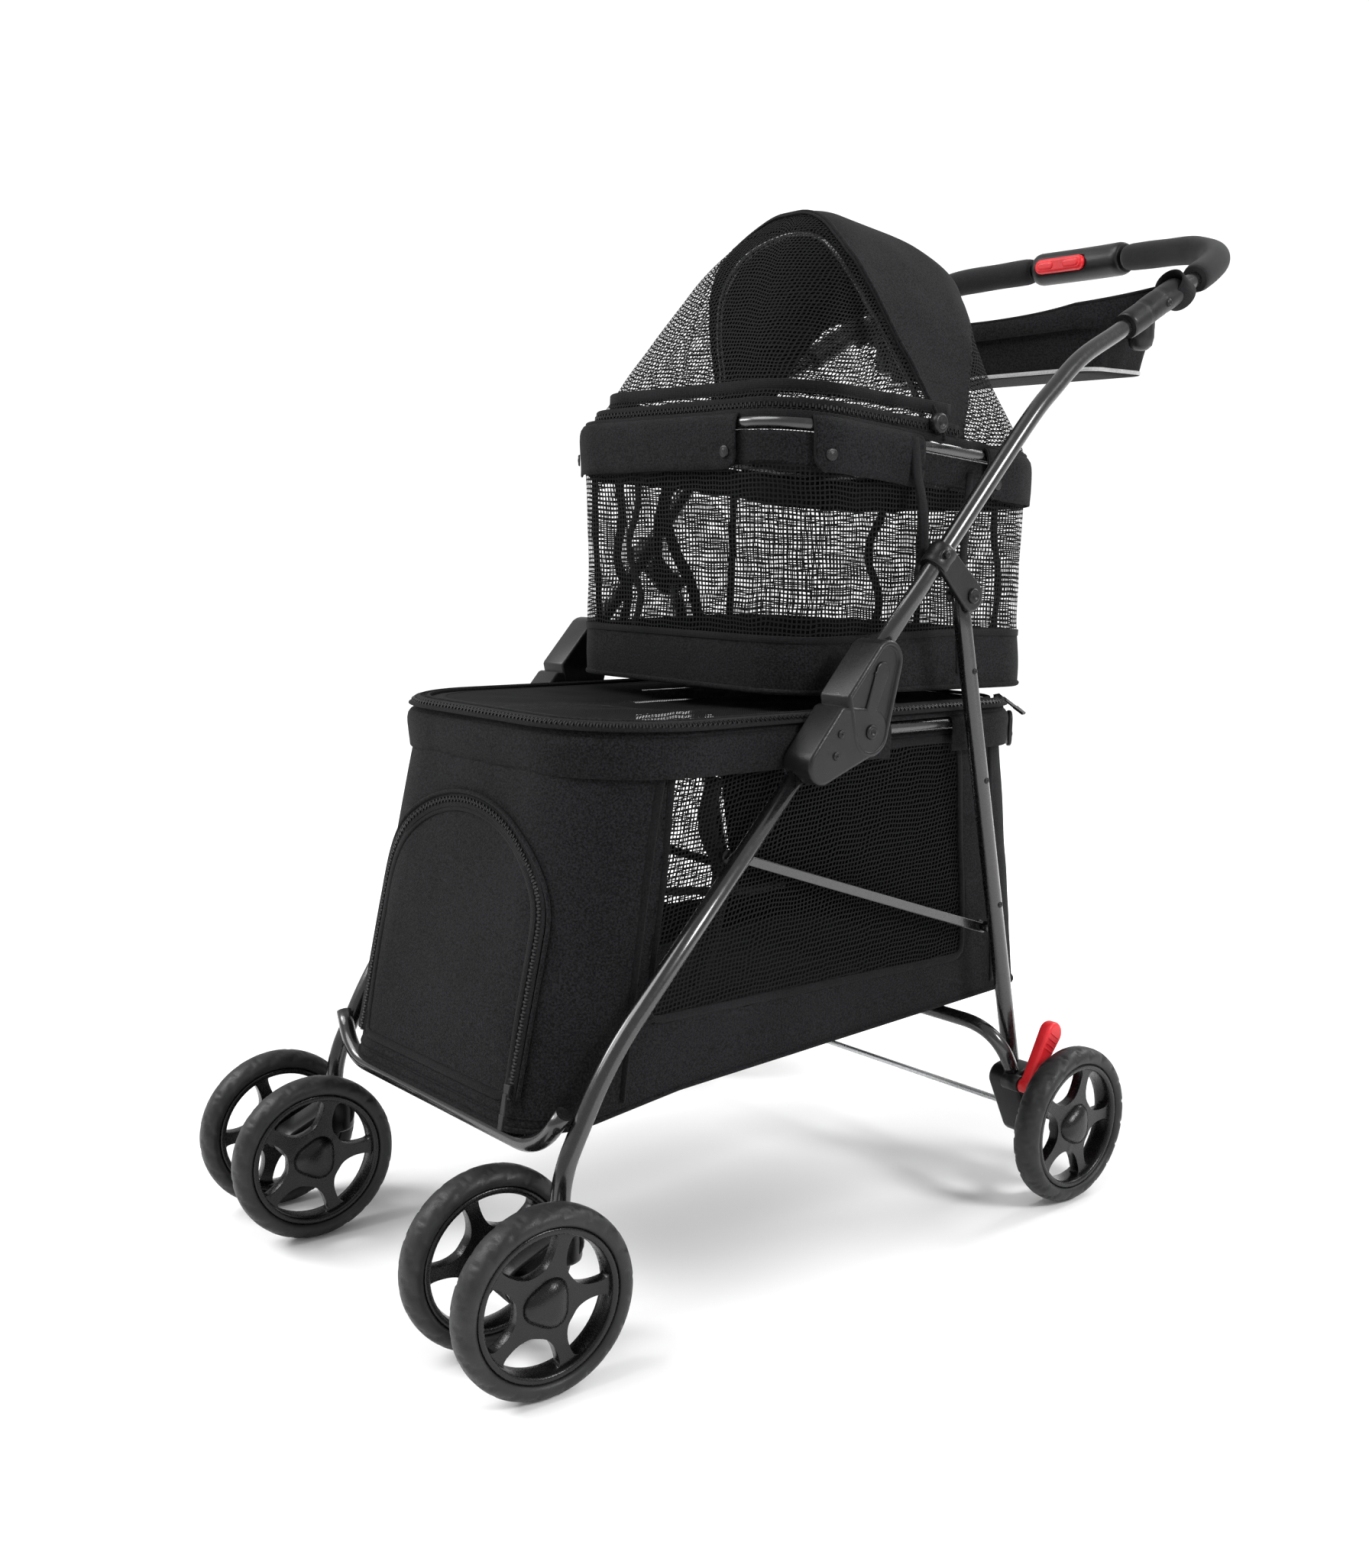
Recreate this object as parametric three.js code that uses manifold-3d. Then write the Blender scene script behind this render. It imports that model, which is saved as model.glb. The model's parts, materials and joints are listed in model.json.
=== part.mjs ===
// Folding pet stroller. Millimetres, +Z up, casters at -Y, handle at +Y, the stroller's left at +X.
import * as THREE from "three";
import { mergeVertices } from "three/addons/utils/BufferGeometryUtils.js";
import Module from "manifold-3d";

const wasm = await Module();
wasm.setup();

// Driving dimensions.
const TUBE_R = 8; // frame tube radius
const FIT = 0.4; // clearance of a bore round what runs through it
const TUBE_SIDES = 10;
const STEM = { x: 180, y: -388, top: 112, r: 5, low: 80 }; // caster stems
const AXLE_Z = 75; // height of every axle, and the wheel radius
const CASTER_TURN = -6; // degrees, how far the casters stand turned
const CASTER_TRAIL = 40;
const CASTER_WHEEL_X = 44; // wheel centre to caster middle
const REAR_AXLE_Y = 159;
const REAR_WHEEL_X = 258;
const SPLIT = { x: 196, y: -104, z: 488 }; // where the side tube parts in two
const SLOPE = { y: 0.6769, z: 0.7361 }; // direction of the side tube, upwards
const FOLD = [-86, 471]; // fold pivot (y, z)
const LEG_TOP = [47, 581]; // rear leg pivot
const STRUT_LOW = [-209, 374]; // strut pivot on the front tube
const STRUT_HIGH = [118, 262]; // where the strut meets the rear leg
const HOUSING = { x: 200.5, half: 17, inner: 7, gap: 0.4, r: 22 }; // fold housings
const STRUT_X = [174.5, 180.5];
const WALL = 2.5; // fabric panel thickness
const DOOR = { half: 112, low: 190, spring: 325, top: 408, gap: 0.8 };

// Rounded-rectangle outlines: half width, front and back y, front and back corner radius and z.
const LOWER_RIM = { w: 174, f: -333, b: 176, rf: 96, rb: 56, zf: 472, zb: 460 };
const BASKET_LOW = { w: 160, f: -396, b: 217, rf: 60, rb: 40, zf: 177, zb: 187 };
const BASKET_TOP = { w: 172, f: -336, b: 178, rf: 98, rb: 58, zf: 465.4, zb: 453.4 };
const UPPER_RIM = { w: 159, f: -124, b: 217, rf: 56, rb: 56, zf: 730, zb: 696 };
const CARRIER_LOW = { w: 160, f: -125, b: 215, rf: 50, rb: 50, zf: 500, zb: 488 };
const CARRIER_TOP = { w: 163, f: -129, b: 221, rf: 58, rb: 58, zf: 723.4, zb: 689.4 };
const CANOPY = [
  { w: 163, f: -128, b: 221, rf: 60, rb: 58, zf: 736.5, zb: 702.5 },
  { w: 158, f: -115, b: 217, rf: 62, rb: 60, zf: 752, zb: 722 },
  { w: 130, f: -92, b: 198, rf: 58, rb: 58, zf: 800, zb: 785 },
  { w: 112, f: -60, b: 190, rf: 60, rb: 56, zf: 848, zb: 838 },
  { w: 90, f: -28, b: 188, rf: 55, rb: 50, zf: 889, zb: 876 },
  { w: 64, f: 8, b: 160, rf: 44, rb: 40, zf: 919, zb: 903 },
  { w: 34, f: 32, b: 118, rf: 26, rb: 26, zf: 934, zb: 921 },
];

const SIDES = [
  ["left", 1],
  ["right", -1],
];

const stroller = new THREE.Group();
stroller.name = "pet_stroller";

// A curve through listed points, one extrusion step to each.
class BentPath extends THREE.Curve {
  constructor(points) {
    super();
    this.points = points;
  }
  getPoint(t, target = new THREE.Vector3()) {
    const last = this.points.length - 1;
    const at = t * last;
    const i = Math.min(Math.floor(at), last - 1);
    return target.copy(this.points[i]).lerp(this.points[i + 1], at - i);
  }
  getPointAt(t, target) {
    return this.getPoint(t, target);
  }
  getTangentAt(t, target = new THREE.Vector3()) {
    const last = this.points.length - 1;
    const i = Math.round(t * last);
    const before = this.points[Math.max(i - 1, 0)];
    const here = this.points[i];
    const after = this.points[Math.min(i + 1, last)];
    const into = here.clone().sub(before).normalize();
    const out = after.clone().sub(here).normalize();
    return target.copy(into).add(out).normalize();
  }
}

function vec(x, y, z) {
  return new THREE.Vector3(x, y, z);
}

function solid(geometry) {
  const flat = geometry.index ? geometry.toNonIndexed() : geometry;
  const bare = new THREE.BufferGeometry();
  bare.setAttribute("position", flat.getAttribute("position").clone());
  const merged = mergeVertices(bare, 1e-4);
  const mesh = new wasm.Mesh({
    numProp: 3,
    vertProperties: merged.attributes.position.array,
    triVerts: new Uint32Array(merged.index.array),
  });
  return new wasm.Manifold(mesh);
}

function cut(body, ...tools) {
  return tools.reduce((left, tool) => left.subtract(tool), body);
}

function join(...bodies) {
  return bodies.reduce((left, body) => left.add(body));
}

function surface(body) {
  const mesh = body.getMesh();
  const geometry = new THREE.BufferGeometry();
  geometry.setAttribute("position", new THREE.BufferAttribute(mesh.vertProperties, 3));
  geometry.setIndex(new THREE.BufferAttribute(mesh.triVerts, 1));
  const flat = geometry.toNonIndexed();
  flat.computeVertexNormals();
  return flat;
}

function part(group, name, body, colour, metalness = 0, roughness = 0.7) {
  const material = new THREE.MeshStandardMaterial({ color: colour, metalness, roughness });
  material.name = `${name}_finish`;
  const mesh = new THREE.Mesh(surface(body), material);
  mesh.name = name;
  group.add(mesh);
  return mesh;
}

function polygon(points) {
  return new THREE.Shape(points.map(([a, b]) => new THREE.Vector2(a, b)));
}

function extrude(points, depth) {
  return new THREE.ExtrudeGeometry(polygon(points), { depth, bevelEnabled: false });
}

// An outline of (y, z) points made into a plate from x0 to x1.
function plateX(x0, x1, outline) {
  const geometry = extrude(outline, x1 - x0);
  const cycle = new THREE.Matrix4().set(0, 0, 1, x0, 1, 0, 0, 0, 0, 1, 0, 0, 0, 0, 0, 1);
  return solid(geometry.applyMatrix4(cycle));
}

// An outline of (x, z) points made into a plate from y0 to y1.
function plateY(y0, y1, outline) {
  const geometry = extrude(outline, y1 - y0);
  geometry.rotateX(Math.PI / 2);
  geometry.translate(0, y1, 0);
  return solid(geometry);
}

// The outline of a cord pulled tight round circles [a, b, radius].
function cordRound(circles, steps = 20) {
  const outline = [];
  for (let i = 0; i < steps; i++) {
    const angle = (2 * Math.PI * (i + 0.5)) / steps;
    const ca = Math.cos(angle);
    const sa = Math.sin(angle);
    const reach = circles.map(([a, b, r]) => a * ca + b * sa + r);
    const [a, b, r] = circles[reach.indexOf(Math.max(...reach))];
    outline.push([a + r * ca, b + r * sa]);
  }
  return outline;
}

// A round bar along X from x0 to x1.
function pinX(x0, x1, y, z, r, sides = 12) {
  const geometry = new THREE.CylinderGeometry(r, r, x1 - x0, sides);
  geometry.rotateZ(-Math.PI / 2);
  geometry.translate((x0 + x1) / 2, y, z);
  return solid(geometry);
}

// A round bar upright from z0 to z1.
function pinZ(x, y, z0, z1, r, sides = 12) {
  const geometry = new THREE.CylinderGeometry(r, r, z1 - z0, sides);
  geometry.rotateX(Math.PI / 2);
  geometry.translate(x, y, (z0 + z1) / 2);
  return solid(geometry);
}

// The same span of x on either side of the stroller.
function span(side, x0, x1) {
  return side > 0 ? [x0, x1] : [-x1, -x0];
}

function circle(r, sides = TUBE_SIDES) {
  const points = [];
  for (let i = 0; i < sides; i++) {
    const angle = (2 * Math.PI * i) / sides;
    points.push([r * Math.cos(angle), r * Math.sin(angle)]);
  }
  return points;
}

function sweep(points, profile) {
  const path = new BentPath(points);
  const options = { extrudePath: path, steps: points.length - 1, bevelEnabled: false };
  return solid(new THREE.ExtrudeGeometry(polygon(profile), options));
}

function tube(points, r, sides = TUBE_SIDES) {
  return sweep(points, circle(r, sides));
}

// A path made longer by d at both ends.
function longer(points, d) {
  const first = points[0].clone().sub(points[1]).setLength(d).add(points[0]);
  const last = points[points.length - 1];
  const before = points[points.length - 2];
  const end = last.clone().sub(before).setLength(d).add(last);
  return [first, ...points.slice(1, -1), end];
}

function boreOf(points, r = TUBE_R) {
  return tube(longer(points, FIT), (r + FIT) / Math.cos(Math.PI / TUBE_SIDES));
}

// Corner points [x, y, z, reach] with each corner that has a reach eased into a bend.
function eased(corners, steps = 4) {
  const points = [];
  corners.forEach(([x, y, z, reach], i) => {
    const here = vec(x, y, z);
    if (!reach) {
      points.push(here);
      return;
    }
    const before = vec(...corners[i - 1].slice(0, 3));
    const after = vec(...corners[i + 1].slice(0, 3));
    const start = before.sub(here).setLength(reach).add(here);
    const end = after.sub(here).setLength(reach).add(here);
    const bend = new THREE.QuadraticBezierCurve3(start, here, end);
    points.push(...bend.getPoints(steps));
  });
  return points;
}

function mirrored(points) {
  const far = points.map((p) => vec(-p.x, p.y, p.z)).reverse();
  return [...points, ...far.slice(Math.abs(points[points.length - 1].x) < 1e-6 ? 1 : 0)];
}

// A point on the side tube's line, s along it and n below it, as (y, z).
function alongTube(s, n) {
  return [SPLIT.y + SLOPE.y * s + SLOPE.z * n, SPLIT.z + SLOPE.z * s - SLOPE.y * n];
}

function tubeX(s) {
  return SPLIT.x + s * (s < 0 ? 15 / 350 : 12 / 330);
}

function onTube(side, s) {
  const [y, z] = alongTube(s, 0);
  return vec(side * tubeX(s), y, z);
}

function between(a, b, t) {
  const out = {};
  for (const key of Object.keys(a)) out[key] = a[key] + (b[key] - a[key]) * t;
  return out;
}

function inset(outline, d, up = 0) {
  const { w, f, b, rf, rb, zf, zb } = outline;
  return { w: w - d, f: f + d, b: b - d, rf: rf - d, rb: rb - d, zf: zf + up, zb: zb + up };
}

const CORNER_STEPS = 4;

// The outline's point for corner number q (counter-clockwise from rear left) at an angle.
function outlinePoint(outline, q, angle) {
  const { w, f, b, rf, rb, zf, zb } = outline;
  const r = q < 2 ? rb : rf;
  const cx = (q === 0 || q === 3 ? 1 : -1) * (w - r);
  const cy = q < 2 ? b - r : f + r;
  const x = cx + r * Math.cos(angle);
  const y = cy + r * Math.sin(angle);
  return vec(x, y, zf + ((zb - zf) * (y - f)) / (b - f));
}

// A body drawn through a stack of outlines, lowest first.
function loft(outlines) {
  const ring = [];
  for (let q = 0; q < 4; q++) {
    for (let j = 0; j <= CORNER_STEPS; j++) {
      const angle = THREE.MathUtils.degToRad(90 * q + 1 + (88 * j) / CORNER_STEPS);
      ring.push([Math.cos(angle), Math.sin(angle)]);
    }
  }
  const steps = outlines.length - 1;
  const options = { depth: steps, steps, bevelEnabled: false };
  const geometry = new THREE.ExtrudeGeometry(polygon(ring), options);
  const position = geometry.getAttribute("position");
  for (let i = 0; i < position.count; i++) {
    const turn = Math.atan2(position.getY(i), position.getX(i));
    const degrees = (THREE.MathUtils.radToDeg(turn) + 360) % 360;
    const q = Math.floor(degrees / 90);
    const j = Math.round(((degrees - 90 * q - 1) * CORNER_STEPS) / 88);
    const angle = (Math.PI / 2) * (q + j / CORNER_STEPS);
    const level = Math.round(position.getZ(i));
    const at = outlinePoint(outlines[level], q, angle);
    position.setXYZ(i, at.x, at.y, at.z);
  }
  return solid(geometry);
}

// A cup with a floor, open at the top.
function cup(low, top, wall) {
  const outer = loft([low, between(low, top, 0.5), top]);
  const high = inset(top, wall, 2);
  const deep = inset(low, wall, wall);
  return cut(outer, loft([deep, between(deep, high, 0.5), high]));
}

// A rim ring with an eight-sided section of radius r.
function rimRing(outline, r) {
  const half = r * 0.414;
  const flat = { ...outline, zf: 0, zb: 0 };
  const loop = (d) => {
    const points = [];
    for (let q = 0; q < 4; q++) {
      for (let j = 0; j <= CORNER_STEPS + 1; j++) {
        const angle = (Math.PI / 2) * (q + j / (CORNER_STEPS + 1));
        const p = outlinePoint(inset(flat, d), q, angle);
        points.push(new THREE.Vector2(p.x, p.y));
      }
    }
    return points;
  };
  const shape = new THREE.Shape(loop(-half));
  shape.holes.push(new THREE.Path(loop(half)));
  const geometry = new THREE.ExtrudeGeometry(shape, {
    depth: 2 * half,
    bevelThickness: r - half,
    bevelSize: r - half,
    bevelSegments: 1,
  });
  const position = geometry.getAttribute("position");
  const { f, b, zf, zb } = outline;
  for (let i = 0; i < position.count; i++) {
    const rise = zf + ((zb - zf) * (position.getY(i) - f)) / (b - f);
    position.setZ(i, position.getZ(i) - half + rise);
  }
  return solid(geometry);
}

const BLACK = 0x17181a;
const PLASTIC = 0x2b2c2f;
const FABRIC = 0x1d1e21;
const MESH = 0x303236;
const RED = 0xd8262c;
const STEEL = 0x8d9094;

const baseFrame = new THREE.Group();
const handleFrame = new THREE.Group();
const legFrame = new THREE.Group();
stroller.add(baseFrame, handleFrame, legFrame);

// Front side tubes, from the caster stems up into the fold housings.
function frontPath(side) {
  const x = side * STEM.x;
  const [bendY, bendZ] = [-341, 230];
  const end = onTube(side, -26);
  return eased([
    [x, STEM.y, STEM.top],
    [x, STEM.y, 145, 26],
    [side * 181, bendY, bendZ, 40],
    [end.x, end.y, end.z],
  ]);
}

function frontTube(side) {
  const stem = pinZ(side * STEM.x, STEM.y, STEM.low, STEM.top + 6, STEM.r);
  const [y, z] = STRUT_LOW;
  const stud = pinX(...span(side, 171.8, 186), y, z, 3);
  const head = pinX(...span(side, 171.4, 174.1), y, z, 6);
  return join(tube(frontPath(side), TUBE_R), stem, stud, head);
}

for (const [hand, side] of SIDES) {
  part(baseFrame, `${hand}_front_tube`, frontTube(side), BLACK, 0.7, 0.3);
}

function frontCrossbar() {
  const half = eased([
    [-174, -378.5, 194],
    [-148, -385, 158, 28],
    [0, -385, 158],
  ]);
  const bar = tube(mirrored(half), 7);
  return cut(bar, boreOf(frontPath(1)), boreOf(frontPath(-1)));
}
part(baseFrame, "front_crossbar", frontCrossbar(), BLACK, 0.7, 0.3);

// Fold housings: the lower block carries one disc, the upper cap a cheek on either side of it.
function housingLayer(side, from, to, r) {
  const [x0, x1] = [HOUSING.x + from, HOUSING.x + to];
  return pinX(...span(side, x0, x1), FOLD[0], FOLD[1], r, 20);
}

function housingBlock(side, far, near) {
  const x = [HOUSING.x - HOUSING.half, HOUSING.x + HOUSING.half];
  const circles = [
    [...alongTube(far, 0), 17],
    [...alongTube(near, 16), 1],
    [...alongTube(near, -16), 1],
  ];
  return plateX(...span(side, ...x), cordRound(circles));
}

function foldBase(side) {
  const { half, inner, gap, r } = HOUSING;
  const block = cut(
    housingBlock(side, -55, -1.5),
    housingLayer(side, -half - 1, -inner + gap / 2, r + 0.8),
    housingLayer(side, inner - gap / 2, half + 1, r + 0.8),
  );
  const disc = housingLayer(side, -inner, inner, r);
  const body = cut(join(block, disc), housingLayer(side, -half - 1, -inner - 0.01, r + 0.8));
  const clean = cut(body, housingLayer(side, inner + 0.01, half + 1, r + 0.8));
  return cut(clean, boreOf(frontPath(side)), housingLayer(side, -30, 30, 4.3));
}

function foldCap(side) {
  const { half, inner, gap, r } = HOUSING;
  const cheekIn = housingLayer(side, -half, -inner - gap, r);
  const cheekOut = housingLayer(side, inner + gap, half, r);
  const block = join(housingBlock(side, 49, 1.5), cheekIn, cheekOut);
  const hollow = housingLayer(side, -inner - gap, inner + gap, r + 0.8);
  return cut(block, hollow, boreOf(upperPath(side)), housingLayer(side, -30, 30, 4.3));
}

function foldPin(side) {
  const shank = housingLayer(side, -20, 18, 4);
  const head = housingLayer(side, 17.4, 20, 7);
  return join(shank, head);
}

// Upper side tubes: straight out of the cap, then curving back into the handle sockets.
function upperPath(side) {
  const curve = [
    [208, 119, 731],
    [209, 159, 767],
    [210, 198, 797],
    [211, 251, 823],
    [212.1, 301, 849],
  ];
  return [onTube(side, 26), ...curve.map(([x, y, z]) => vec(side * x, y, z))];
}

for (const [hand, side] of SIDES) {
  part(baseFrame, `${hand}_fold_base`, foldBase(side), PLASTIC);
  part(baseFrame, `${hand}_fold_pin`, foldPin(side), STEEL, 0.9, 0.3);
  part(handleFrame, `${hand}_upper_tube`, tube(upperPath(side), TUBE_R), BLACK, 0.7, 0.3);
  part(handleFrame, `${hand}_fold_cap`, foldCap(side), PLASTIC);
}

// Handlebar, sockets and grips.
const BAR = [
  [212.3, 307, 852],
  [213, 341, 869],
  [213, 372, 882],
  [211, 398, 894],
  [205, 420, 905],
  [190, 440, 915],
  [170, 451, 922],
  [150, 457, 926],
  [110, 468, 929],
  [64, 477, 931.4],
  [0, 483, 932],
];
const barHalf = BAR.map(([x, y, z]) => vec(x, y, z));
const barPath = mirrored(barHalf);
part(handleFrame, "handlebar_tube", tube(barPath, TUBE_R), BLACK, 0.7, 0.3);

function sided(side, points) {
  return points.map((p) => vec(side * p.x, p.y, p.z));
}

function handleSocket(side) {
  const sleeve = [vec(211.2, 262, 828.6), vec(212.1, 301, 849), vec(213, 341, 869)];
  const body = tube(sided(side, sleeve), 13, 14);
  const bar = sided(side, barHalf.slice(0, 3));
  return cut(body, boreOf(upperPath(side)), boreOf(bar));
}

function grip(side) {
  const path = sided(side, barHalf.slice(2, 10));
  return cut(tube(path, 14.5, 12), boreOf(barPath));
}

function releaseHousing() {
  const path = [vec(-58, 478.2, 931.6), vec(0, 483, 932), vec(60, 477.9, 931.5)];
  const body = tube(path, 18, 16);
  const slot = plateY(440, 471.6, cordRound([[-42, 932, 8.4], [7, 932, 8.4]], 20));
  return cut(body, boreOf(barPath), slot);
}

for (const [hand, side] of SIDES) {
  part(handleFrame, `${hand}_handle_socket`, handleSocket(side), PLASTIC);
  part(handleFrame, `${hand}_grip`, grip(side), BLACK);
}
part(handleFrame, "release_housing", releaseHousing(), PLASTIC);
const button = plateY(459, 466.6, cordRound([[-42, 932, 8], [7, 932, 8]], 20));
part(handleFrame, "release_button", button, RED);

// Leg brackets: a collar on the upper tube with a lobe down to the leg pivot.
function legBracket(side) {
  const collar = tube([onTube(side, 160), onTube(side, 182)], 13, 16);
  const circles = [
    [...alongTube(171, 2), 12],
    [...LEG_TOP, 14],
  ];
  const lobe = plateX(...span(side, 206.6, 213), cordRound(circles));
  const [y, z] = LEG_TOP;
  return cut(join(collar, lobe), boreOf(upperPath(side)), pinX(...span(side, 180, 230), y, z, 3.8));
}

// Rear legs, with the boss each strut end lies against.
const LEG_RUN = [0.2161, -0.9764];
function legPath(side) {
  const at = (x, from, d) => vec(side * x, from[0] + LEG_RUN[0] * d, from[1] + LEG_RUN[1] * d);
  return [at(198, LEG_TOP, -12), at(194, [REAR_AXLE_Y, AXLE_Z], 15)];
}

function rearLeg(side) {
  const [y, z] = LEG_TOP;
  const boss = pinX(...span(side, 180.9, 192), ...STRUT_HIGH, 5);
  const axleHole = pinX(...span(side, 180, 230), REAR_AXLE_Y, AXLE_Z, 3.3);
  const body = join(tube(legPath(side), TUBE_R), boss);
  return cut(body, pinX(...span(side, 180, 230), y, z, 3.8), axleHole);
}

function legPin(side) {
  const [y, z] = LEG_TOP;
  const shank = pinX(...span(side, 187, 214), y, z, 3.5);
  const near = pinX(...span(side, 213.4, 216), y, z, 7);
  return join(shank, near, pinX(...span(side, 186, 189.4), y, z, 6));
}

const crossHalf = eased([
  [-210, 142, 98],
  [-205, 112, 166, 42],
  [0, 112, 166],
]);
const crossPath = mirrored(crossHalf);
part(legFrame, "rear_crossbar", tube(crossPath, 7), BLACK, 0.7, 0.3);

function rearAxle() {
  const rod = pinX(-271, 271, REAR_AXLE_Y, AXLE_Z, 3);
  const caps = [1, -1].map((side) => pinX(...span(side, 270.3, 271.8), REAR_AXLE_Y, AXLE_Z, 8));
  return join(rod, ...caps);
}
part(legFrame, "rear_axle", rearAxle(), STEEL, 0.9, 0.25);

const PEDAL = [127, 112]; // brake pedal pivot
function legShoe(side) {
  const circles = [
    [138, 110, 13],
    [152, 112, 13],
    [162, 63, 14],
  ];
  const body = plateX(...span(side, 184.5, 219.5), cordRound(circles));
  const pin = pinX(...span(side, 219, 240), ...PEDAL, 3);
  const head = pinX(...span(side, 237.4, 240), ...PEDAL, 5);
  const boss = pinX(...span(side, 205, 223.6), ...PEDAL, 8);
  const axleHole = pinX(...span(side, 180, 230), REAR_AXLE_Y, AXLE_Z, 3.3);
  const shoe = cut(join(body, boss), boreOf(legPath(side)), boreOf(crossPath, 7), axleHole);
  return join(shoe, pin, head);
}

function brakePedal(side) {
  const hub = pinX(...span(side, 224, 237), ...PEDAL, 7);
  const paddle = plateX(...span(side, 225, 237), cordRound([[...PEDAL, 5], [160, 158, 12]]));
  return cut(join(hub, paddle), pinX(...span(side, 220, 242), ...PEDAL, 3.4));
}

// Flat struts between the front tubes and the rear legs.
function strut(side) {
  const bar = plateX(...span(side, ...STRUT_X), cordRound([[...STRUT_LOW, 6], [...STRUT_HIGH, 7]]));
  const bolt = pinX(...span(side, 171.6, 175), ...STRUT_HIGH, 5);
  return cut(join(bar, bolt), pinX(...span(side, 170, 182), ...STRUT_LOW, 3.3));
}

for (const [hand, side] of SIDES) {
  part(handleFrame, `${hand}_leg_bracket`, legBracket(side), PLASTIC);
  part(legFrame, `${hand}_rear_leg`, rearLeg(side), BLACK, 0.7, 0.3);
  part(legFrame, `${hand}_leg_pin`, legPin(side), STEEL, 0.9, 0.3);
  part(legFrame, `${hand}_leg_shoe`, legShoe(side), PLASTIC);
  part(legFrame, `${hand}_brake_pedal`, brakePedal(side), RED);
  part(baseFrame, `${hand}_strut`, strut(side), BLACK, 0.7, 0.3);
}

// Wheels, made about their own axle along X.
const WHEEL_SEGMENTS = 20;
const TYRE_SECTION = [
  [60.5, -9],
  [62.5, -12.5],
  [66, -13.5],
  [71, -11],
  [75, -5],
  [75, 5],
  [71, 11],
  [66, 13.5],
  [62.5, 12.5],
  [60.5, 9],
  [60.5, -9],
];

function turned(profile, segments) {
  const points = profile.map(([r, x]) => new THREE.Vector2(r, x));
  const geometry = new THREE.LatheGeometry(points, segments);
  geometry.rotateZ(-Math.PI / 2);
  return solid(geometry);
}

function wheelRim(bore) {
  const band = [
    [54, -9],
    [60.2, -9],
    [60.2, 9],
    [54, 9],
    [54, -9],
  ];
  const hub = pinX(-12, 12, 0, 0, 18);
  const spokes = [];
  for (let i = 0; i < 5; i++) {
    const spoke = new THREE.BoxGeometry(9, 13, 46);
    spoke.translate(0, 0, 33);
    spoke.rotateX((2 * Math.PI * i) / 5);
    spokes.push(solid(spoke));
  }
  return cut(join(turned(band, WHEEL_SEGMENTS), hub, ...spokes), pinX(-14, 14, 0, 0, bore));
}

const tyre = turned(TYRE_SECTION, WHEEL_SEGMENTS);
const rearRim = wheelRim(3.3);
const frontRim = wheelRim(4.3);

function wheel(group, name, rim, x) {
  const place = new THREE.Group();
  place.position.set(x, 0, 0);
  group.add(place);
  part(place, `${name}_tyre`, tyre, BLACK);
  part(place, `${name}_rim`, rim, PLASTIC);
}

const rearAxleGroup = new THREE.Group();
rearAxleGroup.position.set(0, REAR_AXLE_Y, AXLE_Z);
stroller.add(rearAxleGroup);

// Casters: a stem hub and an arm down to the axle, between twin wheels.
function casterHousing() {
  const arm = plateX(-15, 15, cordRound([[0, 96, 14], [-CASTER_TRAIL, AXLE_Z, 17]]));
  const hub = pinZ(0, 0, 79.5, 111.4, 17, 24);
  const collar = pinX(-31.6, 31.6, -CASTER_TRAIL, AXLE_Z, 9);
  const stem = pinZ(0, 0, STEM.low - 1.5, 120, STEM.r + FIT);
  const body = join(arm, hub, collar);
  return cut(body, stem, pinX(-40, 40, -CASTER_TRAIL, AXLE_Z, 4.3));
}

function casterAxle() {
  const rod = pinX(-57, 57, -CASTER_TRAIL, AXLE_Z, 4);
  const caps = [1, -1].map((side) => pinX(...span(side, 56.3, 58.3), -CASTER_TRAIL, AXLE_Z, 8));
  return join(rod, ...caps);
}

for (const [hand, side] of SIDES) {
  const caster = new THREE.Group();
  caster.position.set(side * STEM.x, STEM.y, 0);
  caster.rotation.z = THREE.MathUtils.degToRad(CASTER_TURN);
  stroller.add(caster);
  part(caster, `${hand}_caster_housing`, casterHousing(), PLASTIC);
  part(caster, `${hand}_caster_axle`, casterAxle(), STEEL, 0.9, 0.3);
  const wheels = new THREE.Group();
  wheels.position.set(0, -CASTER_TRAIL, AXLE_Z);
  caster.add(wheels);
  wheel(wheels, `${hand}_caster_outer`, frontRim, side * CASTER_WHEEL_X);
  wheel(wheels, `${hand}_caster_inner`, frontRim, -side * CASTER_WHEEL_X);
  wheel(rearAxleGroup, `${hand}_rear`, rearRim, side * REAR_WHEEL_X);
}

// Lower basket: rim tube, fabric walls with an arched front door, floor pad and mesh cover.
part(baseFrame, "lower_rim_tube", rimRing(LOWER_RIM, 6), BLACK, 0.7, 0.3);

function archOutline(margin, low) {
  const half = DOOR.half - margin;
  const rise = DOOR.top - margin - DOOR.spring;
  const outline = [
    [-half, low],
    [half, low],
  ];
  for (let i = 0; i <= 12; i++) {
    const angle = (Math.PI * i) / 12;
    outline.push([half * Math.cos(angle), DOOR.spring + rise * Math.sin(angle)]);
  }
  return outline;
}

const basket = cup(BASKET_LOW, BASKET_TOP, WALL);
const opening = plateY(-430, -290, archOutline(0, DOOR.low - 2));
const doorPrism = plateY(-430, -290, archOutline(DOOR.gap, DOOR.low));
part(baseFrame, "lower_basket_shell", basket.subtract(opening), FABRIC);
part(baseFrame, "front_door", basket.intersect(doorPrism), MESH);

const basketPad = [
  { w: 155, f: -390, b: 212, rf: 54, rb: 36, zf: 180.2, zb: 190.2 },
  { w: 155, f: -384, b: 208, rf: 54, rb: 36, zf: 202, zb: 212 },
];
part(baseFrame, "lower_basket_floor", loft(basketPad), FABRIC);

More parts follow.
